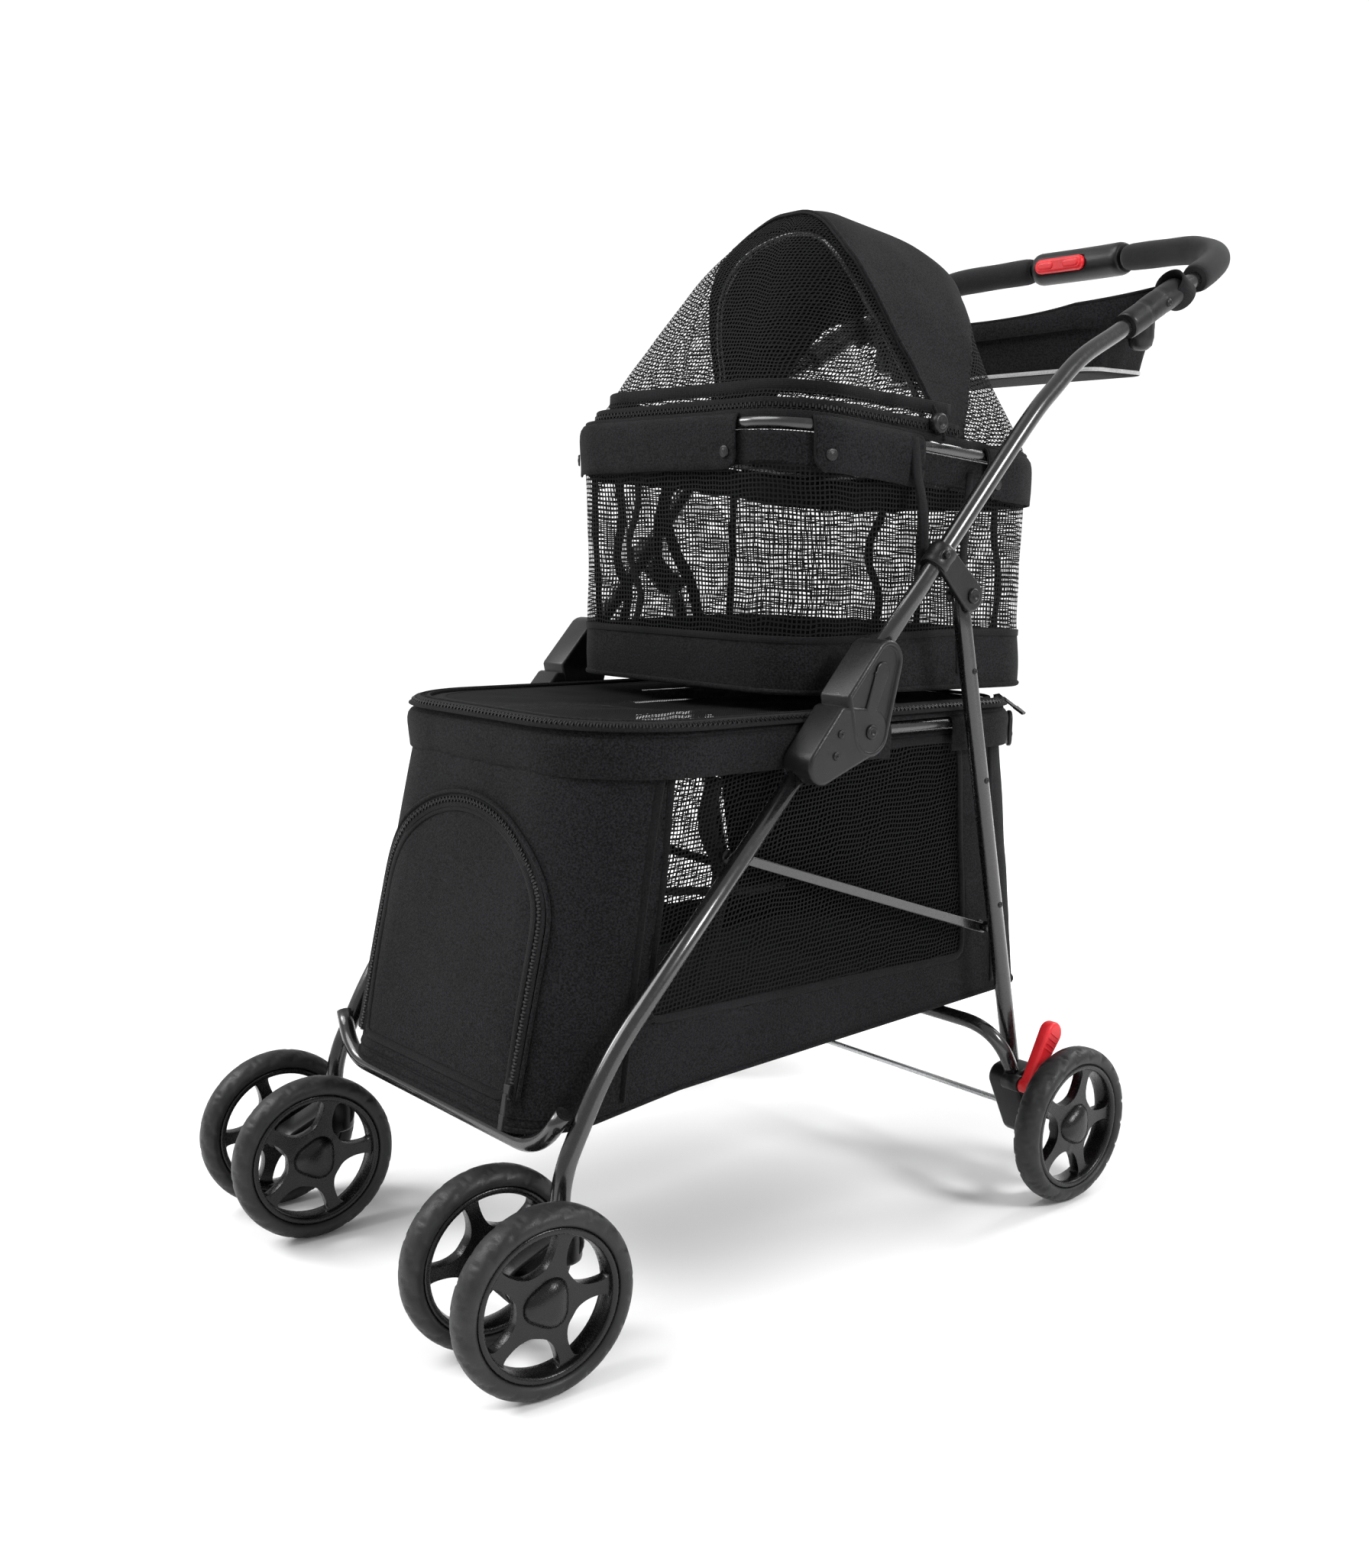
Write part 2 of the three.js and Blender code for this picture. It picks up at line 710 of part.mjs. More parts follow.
function rimCover(rim) {
  const outer = [inset(rim, -4, 6.6), inset(rim, -3, 13), inset(rim, 26, 18)];
  const inner = [inset(rim, -1.5, 5), inset(rim, -0.5, 11.5), inset(rim, 27, 15.5)];
  return cut(loft(outer), loft(inner));
}
part(baseFrame, "lower_top_cover", rimCover(LOWER_RIM), MESH);

// Upper carrier: rim tube, walls, pad, folding canopy on its bow, and the arms that rest on the frame.
const carrier = new THREE.Group();
stroller.add(carrier);
part(carrier, "carrier_shell", cup(CARRIER_LOW, CARRIER_TOP, WALL), FABRIC);

const carrierPad = [
  { w: 156, f: -121, b: 211, rf: 46, rb: 46, zf: 503, zb: 491 },
  { w: 156, f: -121, b: 211, rf: 46, rb: 46, zf: 528, zb: 516 },
];
part(carrier, "carrier_floor", loft(carrierPad), FABRIC);

const canopyInside = CANOPY.map((outline) => inset(outline, 3, -3));
part(carrier, "canopy", cut(loft(CANOPY), loft(canopyInside)), FABRIC);

const BOW = [
  [148, 52, 733],
  [132, 51, 768],
  [120, 46, 790],
  [107, 30, 826],
  [90, 18, 862],
  [68, 16, 888],
  [42, 20, 905],
  [0, 26, 914],
];
part(carrier, "canopy_bow", tube(mirrored(BOW.map(([x, y, z]) => vec(x, y, z))), 3, 8), BLACK);

function supportArm(side) {
  const path = [
    [165.5, 18, 713],
    [169.5, 17, 690],
    [183.5, 13, 648],
    [184.5, 12, 596],
  ];
  const profile = [
    [-8, -2.2],
    [8, -2.2],
    [8, 2.2],
    [-8, 2.2],
  ];
  return sweep(path.map(([x, y, z]) => vec(side * x, y, z)), profile);
}
const carrierFrame = join(rimRing(UPPER_RIM, 6), supportArm(1), supportArm(-1));
part(carrier, "carrier_frame", carrierFrame, BLACK, 0.7, 0.3);

// Parent tray slung between the handle sockets.
function parentTray() {
  const low = { w: 140, f: 312, b: 408, rf: 20, rb: 20, zf: 797, zb: 797 };
  const top = { w: 150, f: 302, b: 418, rf: 24, rb: 24, zf: 848, zb: 848 };
  const straps = SIDES.map(([, side]) => {
    const path = [vec(side * 147, 345, 838), vec(side * 172, 344, 846), vec(side * 197, 343, 866)];
    const profile = [
      [-1.5, -14],
      [1.5, -14],
      [1.5, 14],
      [-1.5, 14],
    ];
    return sweep(path, profile);
  });
  return join(cup(low, top, WALL), ...straps);
}
part(handleFrame, "parent_tray", parentTray(), FABRIC);

export default stroller;
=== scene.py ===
"""Looks of the folding pet stroller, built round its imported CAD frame.

The shape helpers take millimetres; the material pitches, the simulation and the camera take metres.
"""
import json
import math

import bmesh
import bpy
import numpy as np
from mathutils import Matrix, Vector, noise


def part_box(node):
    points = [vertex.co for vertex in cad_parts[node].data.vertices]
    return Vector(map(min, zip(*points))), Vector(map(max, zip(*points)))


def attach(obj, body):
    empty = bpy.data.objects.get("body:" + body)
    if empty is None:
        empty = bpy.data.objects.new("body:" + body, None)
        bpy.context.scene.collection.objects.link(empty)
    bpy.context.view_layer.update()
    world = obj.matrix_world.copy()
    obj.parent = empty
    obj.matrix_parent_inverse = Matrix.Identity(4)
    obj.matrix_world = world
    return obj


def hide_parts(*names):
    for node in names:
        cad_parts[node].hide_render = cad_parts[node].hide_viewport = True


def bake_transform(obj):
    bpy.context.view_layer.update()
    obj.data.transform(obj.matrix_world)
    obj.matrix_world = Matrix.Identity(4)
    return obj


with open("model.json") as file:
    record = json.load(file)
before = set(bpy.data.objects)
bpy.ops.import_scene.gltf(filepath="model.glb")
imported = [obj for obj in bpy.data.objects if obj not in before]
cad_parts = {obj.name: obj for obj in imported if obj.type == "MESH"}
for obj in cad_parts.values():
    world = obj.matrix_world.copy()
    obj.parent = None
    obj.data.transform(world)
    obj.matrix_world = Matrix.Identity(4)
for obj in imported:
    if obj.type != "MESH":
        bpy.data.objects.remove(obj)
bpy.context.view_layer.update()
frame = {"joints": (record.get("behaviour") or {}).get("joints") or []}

MM = 0.001
SIDES = (("left", 1), ("right", -1))

# ---------------------------------------------------------------- materials


def add(tree, kind, **values):
    node = tree.nodes.new(kind)
    for key, value in values.items():
        if hasattr(node, key):
            setattr(node, key, value)
        else:
            node.inputs[key.replace("_", " ")].default_value = value
    return node


def math_node(tree, operation, a, b=None):
    node = tree.nodes.new("ShaderNodeMath")
    node.operation = operation
    for i, value in enumerate((a, b)):
        if value is None:
            continue
        if isinstance(value, (int, float)):
            node.inputs[i].default_value = value
        else:
            tree.links.new(value, node.inputs[i])
    return node.outputs[0]


def base_material(name, colour, rough, metallic=0.0, **inputs):
    mat = bpy.data.materials.new(name)
    mat.use_nodes = True
    shader = mat.node_tree.nodes["Principled BSDF"]
    shader.inputs["Base Color"].default_value = (*colour, 1)
    shader.inputs["Roughness"].default_value = rough
    shader.inputs["Metallic"].default_value = metallic
    for key, value in inputs.items():
        shader.inputs[key.replace("_", " ")].default_value = value
    return mat, mat.node_tree, shader


def ramp(tree, source, low, high, dark, light):
    """Source between low and high mapped from dark to light, colours or numbers."""
    node = tree.nodes.new("ShaderNodeMapRange")
    if isinstance(dark, tuple):
        mix = tree.nodes.new("ShaderNodeMix")
        mix.data_type = "RGBA"
        mix.inputs[6].default_value = (*dark, 1)
        mix.inputs[7].default_value = (*light, 1)
        node.inputs["From Min"].default_value = low
        node.inputs["From Max"].default_value = high
        tree.links.new(source, node.inputs["Value"])
        tree.links.new(node.outputs[0], mix.inputs[0])
        return mix.outputs[2]
    node.inputs["From Min"].default_value = low
    node.inputs["From Max"].default_value = high
    node.inputs["To Min"].default_value = dark
    node.inputs["To Max"].default_value = light
    tree.links.new(source, node.inputs["Value"])
    return node.outputs[0]


def noise_of(tree, scale, detail=3.0, coords="Object"):
    where = tree.nodes.new("ShaderNodeTexCoord").outputs[coords]
    node = add(tree, "ShaderNodeTexNoise")
    node.inputs["Scale"].default_value = scale
    node.inputs["Detail"].default_value = detail
    tree.links.new(where, node.inputs["Vector"])
    return node.outputs["Fac"]


def bump(tree, shader, height, distance, strength=1.0):
    node = tree.nodes.new("ShaderNodeBump")
    node.inputs["Distance"].default_value = distance
    node.inputs["Strength"].default_value = strength
    tree.links.new(height, node.inputs["Height"])
    tree.links.new(node.outputs[0], shader.inputs["Normal"])


def enamel():
    mat, tree, shader = base_material("black_enamel", (0.004, 0.004, 0.0045), 0.2, 0.0)
    shader.inputs["Coat Weight"].default_value = 0.6
    shader.inputs["Coat Roughness"].default_value = 0.08
    fine = noise_of(tree, 220.0)
    tree.links.new(ramp(tree, fine, 0.3, 0.7, 0.22, 0.32), shader.inputs["Roughness"])
    bump(tree, shader, noise_of(tree, 500.0, 2.0), 0.00003, 0.4)
    return mat


def steel():
    mat, tree, shader = base_material("polished_steel", (0.55, 0.56, 0.57), 0.3, 1.0)
    streaks = noise_of(tree, 350.0, 4.0)
    tree.links.new(ramp(tree, streaks, 0.3, 0.7, 0.2, 0.42), shader.inputs["Roughness"])
    bump(tree, shader, streaks, 0.00005, 0.6)
    return mat


def dark_screw():
    mat, tree, shader = base_material("blackened_steel", (0.02, 0.02, 0.021), 0.35, 0.8)
    marks = noise_of(tree, 500.0, 4.0)
    tree.links.new(ramp(tree, marks, 0.3, 0.7, 0.28, 0.5), shader.inputs["Roughness"])
    bump(tree, shader, marks, 0.00005, 0.6)
    return mat


def moulded(name, dark, light, rough):
    mat, tree, shader = base_material(name, light, rough)
    shader.inputs["Specular IOR Level"].default_value = 0.32
    grain = noise_of(tree, 1100.0, 3.0)
    cloud = noise_of(tree, 40.0, 2.0)
    tree.links.new(ramp(tree, cloud, 0.3, 0.7, dark, light), shader.inputs["Base Color"])
    tree.links.new(ramp(tree, grain, 0.3, 0.7, rough - 0.1, rough + 0.12), shader.inputs["Roughness"])
    bump(tree, shader, grain, 0.00025, 0.6)
    return mat


def foam():
    mat, tree, shader = base_material("grip_foam", (0.01, 0.01, 0.011), 0.95)
    shader.inputs["Sheen Weight"].default_value = 0.08
    shader.inputs["Specular IOR Level"].default_value = 0.25
    cells = noise_of(tree, 1400.0, 5.0)
    tree.links.new(
        ramp(tree, cells, 0.35, 0.7, (0.004, 0.004, 0.0045), (0.018, 0.018, 0.02)),
        shader.inputs["Base Color"]
    )
    bump(tree, shader, cells, 0.0006, 0.9)
    return mat


def woven(name, dark, light, pitch=0.0011, sheen=0.35, coords="UV", speckle=0.5):
    """Woven cloth: crossed threads at the given pitch in metres, speckle and a soft sheen."""
    mat, tree, shader = base_material(name, light, 0.85)
    shader.inputs["Specular IOR Level"].default_value = 0.11
    shader.inputs["Sheen Weight"].default_value = sheen
    shader.inputs["Sheen Roughness"].default_value = 0.5
    where = tree.nodes.new("ShaderNodeTexCoord").outputs[coords]
    heights = []
    for direction in ("X", "Y"):
        wave = tree.nodes.new("ShaderNodeTexWave")
        wave.bands_direction = direction
        wave.inputs["Scale"].default_value = 2 * math.pi / (20 * pitch)
        wave.inputs["Distortion"].default_value = 0.6
        wave.inputs["Detail"].default_value = 1.0
        tree.links.new(where, wave.inputs["Vector"])
        heights.append(wave.outputs["Fac"])
    weave = math_node(tree, "ADD", *heights)
    flecks = noise_of(tree, 620.0, 3.0)
    cloud = noise_of(tree, 9.0, 3.0)
    mixed = math_node(
        tree, "ADD", math_node(tree, "MULTIPLY", flecks, speckle),
        math_node(tree, "MULTIPLY", cloud, 1 - speckle)
    )
    tree.links.new(ramp(tree, mixed, 0.38, 0.62, dark, light), shader.inputs["Base Color"])
    height = math_node(tree, "ADD", math_node(tree, "MULTIPLY", weave, 0.5), flecks)
    bump(tree, shader, height, 0.0003, 0.7)
    return mat


def netting(name, pitch, cover, tint):
    """Open net: threads at the given pitch in metres; cover is how much of the pitch a thread takes."""
    mat, tree, shader = base_material(name, tint, 0.8)
    shader.inputs["Specular IOR Level"].default_value = 0.14
    uv = tree.nodes.new("ShaderNodeTexCoord").outputs["UV"]
    warp = tree.nodes.new("ShaderNodeTexNoise")
    warp.inputs["Scale"].default_value = 22.0
    tree.links.new(uv, warp.inputs["Vector"])
    shift = math_node(tree, "MULTIPLY", warp.outputs["Fac"], pitch * 2.2)
    parts = tree.nodes.new("ShaderNodeSeparateXYZ")
    tree.links.new(uv, parts.inputs[0])
    threads = []
    for axis in (0, 1):
        along = math_node(tree, "ADD", parts.outputs[axis], shift)
        cycle = math_node(tree, "FRACT", math_node(tree, "DIVIDE", along, pitch))
        off = math_node(tree, "ABSOLUTE", math_node(tree, "SUBTRACT", cycle, 0.5))
        threads.append(math_node(tree, "LESS_THAN", off, cover / 2))
    solid = math_node(tree, "MAXIMUM", *threads)
    tree.links.new(solid, shader.inputs["Alpha"])
    return mat


BLACK = enamel()
STEEL = steel()
SCREW = dark_screw()
PLASTIC = moulded("charcoal_plastic", (0.0035, 0.0035, 0.004), (0.008, 0.008, 0.0085), 0.36)
WHEEL = moulded("wheel_plastic", (0.002, 0.002, 0.0023), (0.0055, 0.0055, 0.006), 0.24)
TYRE = moulded("tyre_rubber", (0.008, 0.008, 0.0085), (0.017, 0.017, 0.018), 0.46)
RED = moulded("glossy_red", (0.52, 0.012, 0.018), (0.68, 0.02, 0.026), 0.34)
FOAM = foam()
CLOTH = woven("black_cloth", (0.0014, 0.0014, 0.0017), (0.0125, 0.0125, 0.0140), sheen=0.02, speckle=0.8)
TAPE = woven("binding_tape", (0.002, 0.002, 0.0023), (0.009, 0.009, 0.0102), 0.0016, 0.04)
PAD = woven("pad_cloth", (0.002, 0.002, 0.0023), (0.008, 0.008, 0.0092), 0.0012, 0.03, "Object")
NET = netting("black_net", 0.0042, 0.34, (0.003, 0.003, 0.0035))
DENSE = netting("dense_net", 0.0027, 0.56, (0.0045, 0.0045, 0.0052))
LIGHT = woven("grey_webbing", (0.3, 0.3, 0.3), (0.5, 0.5, 0.5), 0.0014)

# ---------------------------------------------------------------- mesh tools


def make(name, verts, faces, body, material, replaces=(), uvs=None, smooth=True):
    """A mesh object from points in millimetres, riding on a body; a piece given the body "fan" is only set in
    place and rides on none.
    """
    mesh = bpy.data.meshes.new(name)
    mesh.from_pydata(
        [tuple(float(c) * MM for c in v[:3]) for v in verts], [], [list(map(int, f)) for f in faces]
    )
    mesh.validate()
    if uvs is not None:
        layer = mesh.uv_layers.new(name="cut")
        for loop in mesh.loops:
            u, v = uvs[loop.vertex_index]
            layer.data[loop.index].uv = (float(u) * MM, float(v) * MM)
    mesh.polygons.foreach_set("use_smooth", [smooth] * len(mesh.polygons))
    obj = bpy.data.objects.new(name, mesh)
    bpy.context.scene.collection.objects.link(obj)
    mesh.materials.append(material)
    if body == "fan":
        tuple(CANOPY_BLEND[0])
        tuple(CANOPY_BLEND[1])
        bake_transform(obj)
    else:
        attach(obj, body)
    if replaces:
        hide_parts(*replaces)
    return obj


def modify(obj, kind, **values):
    mod = obj.modifiers.new(kind.lower(), kind)
    for key, value in values.items():
        setattr(mod, key, value)
    return mod


def thick(obj, mm, offset=-1.0):
    modify(obj, "SOLIDIFY", thickness=mm * MM, offset=offset)
    return obj


def unit(v):
    return v / max(np.linalg.norm(v), 1e-9)


def catmull(points, steps=6, closed=False):
    """A smooth path through the points."""
    p = np.array(points, float)
    n = len(p)
    out = []
    for i in range(n if closed else n - 1):
        if closed:
            a, b, c, d = (p[(i + k) % n] for k in (-1, 0, 1, 2))
        else:
            b, c = p[i], p[i + 1]
            a = p[i - 1] if i else 2 * b - c
            d = p[i + 2] if i + 2 < n else 2 * c - b
        for k in range(steps):
            t = k / steps
            out.append(
                0.5
                * (
                    2 * b + (c - a) * t + (2 * a - 5 * b + 4 * c - d) * t * t
                    + (3 * b - a - 3 * c + d) * t**3
                )
            )
    if not closed:
        out.append(p[-1])
    return np.array(out)


def eased(corners, steps=14):
    """Corner points [x, y, z, reach], each corner with a reach eased into a bend."""
    out = []
    for i, corner in enumerate(corners):
        here = np.array(corner[:3], float)
        reach = corner[3] if len(corner) > 3 else 0
        if not reach:
            out.append(here)
            continue
        start = here + unit(np.array(corners[i - 1][:3]) - here) * reach
        end = here + unit(np.array(corners[i + 1][:3]) - here) * reach
        for k in range(steps + 1):
            t = k / steps
            out.append((1 - t) ** 2 * start + 2 * t * (1 - t) * here + t * t * end)
    return np.array(out)


def frames(points, closed=False, normals=None):
    """Tangent, normal and binormal at each point."""
    p = np.array(points, float)
    n = len(p)
    if closed:
        tangents = np.array([unit(p[(i + 1) % n] - p[i - 1]) for i in range(n)])
    else:
        tangents = np.array([unit(p[min(i + 1, n - 1)] - p[max(i - 1, 0)]) for i in range(n)])
    out = []
    last = unit(np.cross(tangents[0], (0.31, 0.17, 0.93)))
    for i in range(n):
        normal = last if normals is None else np.array(normals[i], float)
        normal = unit(normal - tangents[i] * (normal @ tangents[i]))
        out.append((tangents[i], normal, np.cross(tangents[i], normal)))
        last = normal
    return out


def sweep(points, profile, closed=False, normals=None, radii=None):
    """A section of (normal, binormal) offsets swept along points: verts, faces, uvs."""
    p = np.array(points, float)
    profile = np.array(profile, float)
    k = len(profile)
    verts, uvs = [], []
    run = 0.0
    around = np.concatenate([[0], np.cumsum(np.linalg.norm(np.diff(profile, axis=0), axis=1))])
    for i, (_, normal, binormal) in enumerate(frames(p, closed, normals)):
        if i:
            run += np.linalg.norm(p[i] - p[i - 1])
        scale = 1.0 if radii is None else radii[i]
        for j, (a, b) in enumerate(profile):
            verts.append(p[i] + normal * a * scale + binormal * b * scale)
            uvs.append((run, around[j]))
    rows = len(p)
    faces = [(a, d, c, b) for a, b, c, d in grid(rows, k, True, closed)]
    if not closed:
        faces.append(tuple(range(k)))
        faces.append(tuple((rows - 1) * k + j for j in reversed(range(k))))
    return verts, faces, uvs


def grid(rows, columns, around=False, closed=False):
    """Faces joining rows of points; around joins each row's ends, closed joins the last row to the first."""
    faces = []
    for i in range(rows if closed else rows - 1):
        low, high = i * columns, (i + 1) % rows * columns
        for j in range(columns if around else columns - 1):
            k = (j + 1) % columns
            faces.append((low + j, low + k, high + k, high + j))
    return faces


def circle(r, sides=18):
    return [
        (r * math.cos(2 * math.pi * i / sides), r * math.sin(2 * math.pi * i / sides))
        for i in range(sides)
    ]


def tube(name, points, r, body, material, replaces=(), closed=False, sides=20, radii=None):
    verts, faces, uvs = sweep(points, circle(r, sides), closed, radii=radii)
    obj = make(name, verts, faces, body, material, replaces, uvs)
    if not closed:
        for face in obj.data.polygons:
            if len(face.vertices) > 4:
                face.use_smooth = False
    return obj


def ribbon(width, depth):
    """A flat strap's section with eased edges: width along the binormal, depth along the normal."""
    w, d = width / 2, depth / 2
    e = min(d * 0.8, 0.8)
    return [
        (d, -w + e), (d, w - e), (d - e, w), (-d + e, w), (-d, w - e), (-d, -w + e), (-d + e, -w),
        (d - e, -w)
    ]


def lathe(name, profile, centre, axis, body, material, replaces=(), segments=48, lobes=0.0):
    """A closed or axis-to-axis profile of (radius, along) turned about an axis through a centre."""
    axis = unit(np.array(axis, float))
    side = unit(np.cross(axis, (0.02, 0.01, 1.0)))
    up = np.cross(axis, side)
    ends = [abs(profile[0][0]) < 1e-6, abs(profile[-1][0]) < 1e-6]
    verts = []
    for s in range(segments):
        a = 2 * math.pi * s / segments
        for r, h in profile:
            r *= 1 + lobes * math.cos(3 * a)
            verts.append(np.array(centre) + axis * h + (side * math.cos(a) + up * math.sin(a)) * r)
    faces = grid(segments, len(profile), not any(ends), True)
    obj = make(name, verts, faces, body, material, replaces)
    weld(obj, 0.01)
    return obj


def weld(obj, mm):
    bm = bmesh.new()
    bm.from_mesh(obj.data)
    bmesh.ops.remove_doubles(bm, verts=bm.verts, dist=mm * MM)
    bmesh.ops.dissolve_degenerate(bm, edges=bm.edges, dist=1e-7)
    bmesh.ops.recalc_face_normals(bm, faces=bm.faces)
    bm.to_mesh(obj.data)
    bm.free()


def clip(verts, faces, level):
    """The part of a mesh where level >= 0, with clean edges; verts may carry extra columns.
    Returns verts, faces and the loops of points along the cut."""
    verts = [np.array(v, float) for v in verts]
    level = list(level)
    cuts = {}
    kept, edges = [], []

    def crossing(a, b):
        key = (a, b) if a < b else (b, a)
        if key not in cuts:
            t = level[key[0]] / (level[key[0]] - level[key[1]])
            verts.append(verts[key[0]] * (1 - t) + verts[key[1]] * t)
            cuts[key] = len(verts) - 1
        return cuts[key]

    for face in faces:
        poly, ends = [], []
        for i, a in enumerate(face):
            b = face[(i + 1) % len(face)]
            if level[a] >= 0:
                poly.append(a)
            if (level[a] >= 0) != (level[b] >= 0):
                c = crossing(a, b)
                poly.append(c)
                ends.append(c)
        if len(poly) >= 3:
            kept.append(poly)
            if len(ends) == 2:
                edges.append(tuple(ends))
    used = sorted({i for f in kept for i in f})
    index = {old: new for new, old in enumerate(used)}
    loops = [np.array([verts[i] for i in loop]) for loop in chains(edges)]
    return [verts[i] for i in used], [[index[i] for i in f] for f in kept], loops


def chains(edges):
    """Edges joined end to end into runs; a closed run repeats its first point."""
    near = {}
    for a, b in edges:
        near.setdefault(a, []).append(b)
        near.setdefault(b, []).append(a)
    out, seen = [], set()
    for start in sorted(near, key=lambda k: (len(near[k]), k)):
        if start in seen:
            continue
        run = [start]
        seen.add(start)
        while True:
            following = [n for n in near[run[-1]] if n not in seen]
            if not following:
                break
            run.append(following[0])
            seen.add(following[0])
        if len(run) > 2 and run[0] in near[run[-1]]:
            run.append(run[0])
        out.append(run)
    return out


def smooth_min(values, k):
    """A minimum with rounded corners of about k millimetres."""
    values = np.array(values, float)
    low = values.min(axis=0)
    return low - k * np.log(np.exp(-(values - low) / k).sum(axis=0))


def ripple(p, size, seed=0.0):
    """Smooth repeatable noise from -1 to 1 at a point in millimetres."""
    return noise.noise(Vector((p[0] / size + seed, p[1] / size - seed, p[2] / size + 2 * seed)))


def even(points, step):
    """The same line with points about step apart."""
    p = np.array(points, float)
    d = np.concatenate([[0], np.cumsum(np.linalg.norm(np.diff(p[:, :3], axis=0), axis=1))])
    count = max(int(round(d[-1] / step)), 3)
    at = np.linspace(0, d[-1], count + 1)
    return np.stack([np.interp(at, d, p[:, k]) for k in range(p.shape[1])], axis=1)


# ---------------------------------------------------------------- outlines and lofts

KEYS = ("w", "f", "b", "rf", "rb", "zf", "zb")


def mix(a, b, t):
    return {k: a[k] * (1 - t) + b[k] * t for k in KEYS}


def inset(o, d, up=0.0):
    return dict(
        w=o["w"] - d, f=o["f"] + d, b=o["b"] - d, rf=o["rf"] - d, rb=o["rb"] - d, zf=o["zf"] + up,
        zb=o["zb"] + up
    )


def span(node):
    """A CAD node's lowest and highest corners at rest, in millimetres."""
    low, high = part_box(node)
    return [c / MM for c in low], [c / MM for c in high]


PIVOT = {j["name"]: [c / MM for c in j["pos_m"]] for j in frame["joints"] if "pos_m" in j}

HOOP_R = 6
RIM_FALL = 12  # the lower rim's rear is this much lower than its front
BASE_RISE = 10  # the basket floor's rear is this much higher than its front
UPPER_FALL = 34  # the same for the carrier's rim
BASE_FALL = 12  # and for its base

low, high = span("lower_rim_tube")
LOWER_RIM = dict(
    w=high[0] - HOOP_R, f=low[1] + HOOP_R, b=high[1] - HOOP_R, rf=96, rb=56,
    zf=low[2] + HOOP_R + RIM_FALL, zb=low[2] + HOOP_R
)
low, high = span("lower_basket_shell")
BASKET_LOW = dict(w=high[0] - 12, f=low[1], b=high[1], rf=60, rb=40, zf=low[2], zb=low[2] + BASE_RISE)
BASKET_TOP = dict(
    w=high[0], f=LOWER_RIM["f"] - 3, b=LOWER_RIM["b"] + 2, rf=98, rb=58, zf=high[2], zb=high[2] - RIM_FALL
)
low, high = span("carrier_shell")
CARRIER_LOW = dict(w=high[0] - 3, f=low[1] + 4, b=high[1] - 6, rf=50, rb=50, zf=low[2] + BASE_FALL, zb=low[2])
CARRIER_TOP = dict(w=high[0], f=low[1], b=high[1], rf=58, rb=58, zf=high[2], zb=high[2] - UPPER_FALL)
UPPER_RIM = inset(CARRIER_TOP, 4, 6.6)
UPPER_RIM.update(f=low[1] + 5, rf=56, rb=56)
low, high = span("canopy")
# Each section of the canopy, as how far in it lies from the sides, front and rear of the solid's box,
# its two corner radii, and how far below the box's top its front and rear are.
CANOPY = [
    dict(
        w=high[0] - side, f=low[1] + front, b=high[1] - rear, rf=rf, rb=rb, zf=high[2] - down,
        zb=high[2] - rear_down
    )
    for side, front, rear, rf, rb, down, rear_down in (
        (0, 0, 0, 60, 58, 197.5, 231.5), (5, 13, 4, 62, 60, 182, 212), (33, 36, 23, 58, 58, 134, 149),
        (51, 68, 31, 60, 56, 86, 96), (73, 100, 33, 55, 50, 45, 58), (99, 136, 61, 44, 40, 15, 31),
        (129, 160, 103, 26, 26, 0, 13), (157, 192, 145, 5, 5, -3, -2),
    )
]


def on_outline(o, u):
    """Point and outward normal at u from 0 to 8: near side, rear left corner, rear, rear right corner,
    far side, front right corner, front, front left corner."""
    u = u % 8
    part = int(u)
    t = u - part
    w, f, b, rf, rb = (o[k] for k in ("w", "f", "b", "rf", "rb"))
    corners = [(w - rb, b - rb, rb), (-w + rb, b - rb, rb), (-w + rf, f + rf, rf), (w - rf, f + rf, rf)]
    if part % 2:
        cx, cy, r = corners[part // 2]
        angle = math.pi / 2 * (part // 2 + t)
        nx, ny = math.cos(angle), math.sin(angle)
        x, y = cx + r * nx, cy + r * ny
    else:
        start = corners[part // 2 - 1]
        end = corners[part // 2]
        angle = math.pi / 2 * (part // 2)
        nx, ny = math.cos(angle), math.sin(angle)
        x0, y0 = start[0] + start[2] * nx, start[1] + start[2] * ny
        x1, y1 = end[0] + end[2] * nx, end[1] + end[2] * ny
        x, y = x0 + (x1 - x0) * t, y0 + (y1 - y0) * t
    z = o["zf"] + (o["zb"] - o["zf"]) * (y - o["f"]) / (o["b"] - o["f"])
    return np.array([x, y, z]), np.array([nx, ny, 0.0])


def stops(counts):
    """The values of u: counts[i] steps in each of the 8 stretches."""
    out = []
    for part, n in enumerate(counts):
        out += [part + i / n for i in range(n)]
    return out


def split_at_back(us):
    """The same values of u in order from the middle of the back, round to it again."""
    return sorted(u + (8 if u < 2.5 else 0) for u in us) + [10.5]


WALL_U = stops([60, 14, 30, 14, 60, 18, 40, 18])


def level_between(levels, t):
    """A smooth section between stacked levels, t from 0 to 1."""
    n = len(levels) - 1
    s = min(max(t, 0.0), 1.0) * n
    i = min(int(s), n - 1)
    if n == 1:
        return mix(levels[0], levels[1], s)
    k = s - i
    out = {}
    for key in KEYS:
        b, c = levels[i][key], levels[i + 1][key]
        a = levels[i - 1][key] if i else 2 * b - c
        d = levels[i + 2][key] if i + 2 <= n else 2 * c - b
        out[key] = 0.5 * (
            2 * b + (c - a) * k + (2 * a - 5 * b + 4 * c - d) * k * k + (3 * b - a - 3 * c + d) * k**3
        )
    return out

# ---------------------------------------------------------------- the frame's lines, as in part.mjs

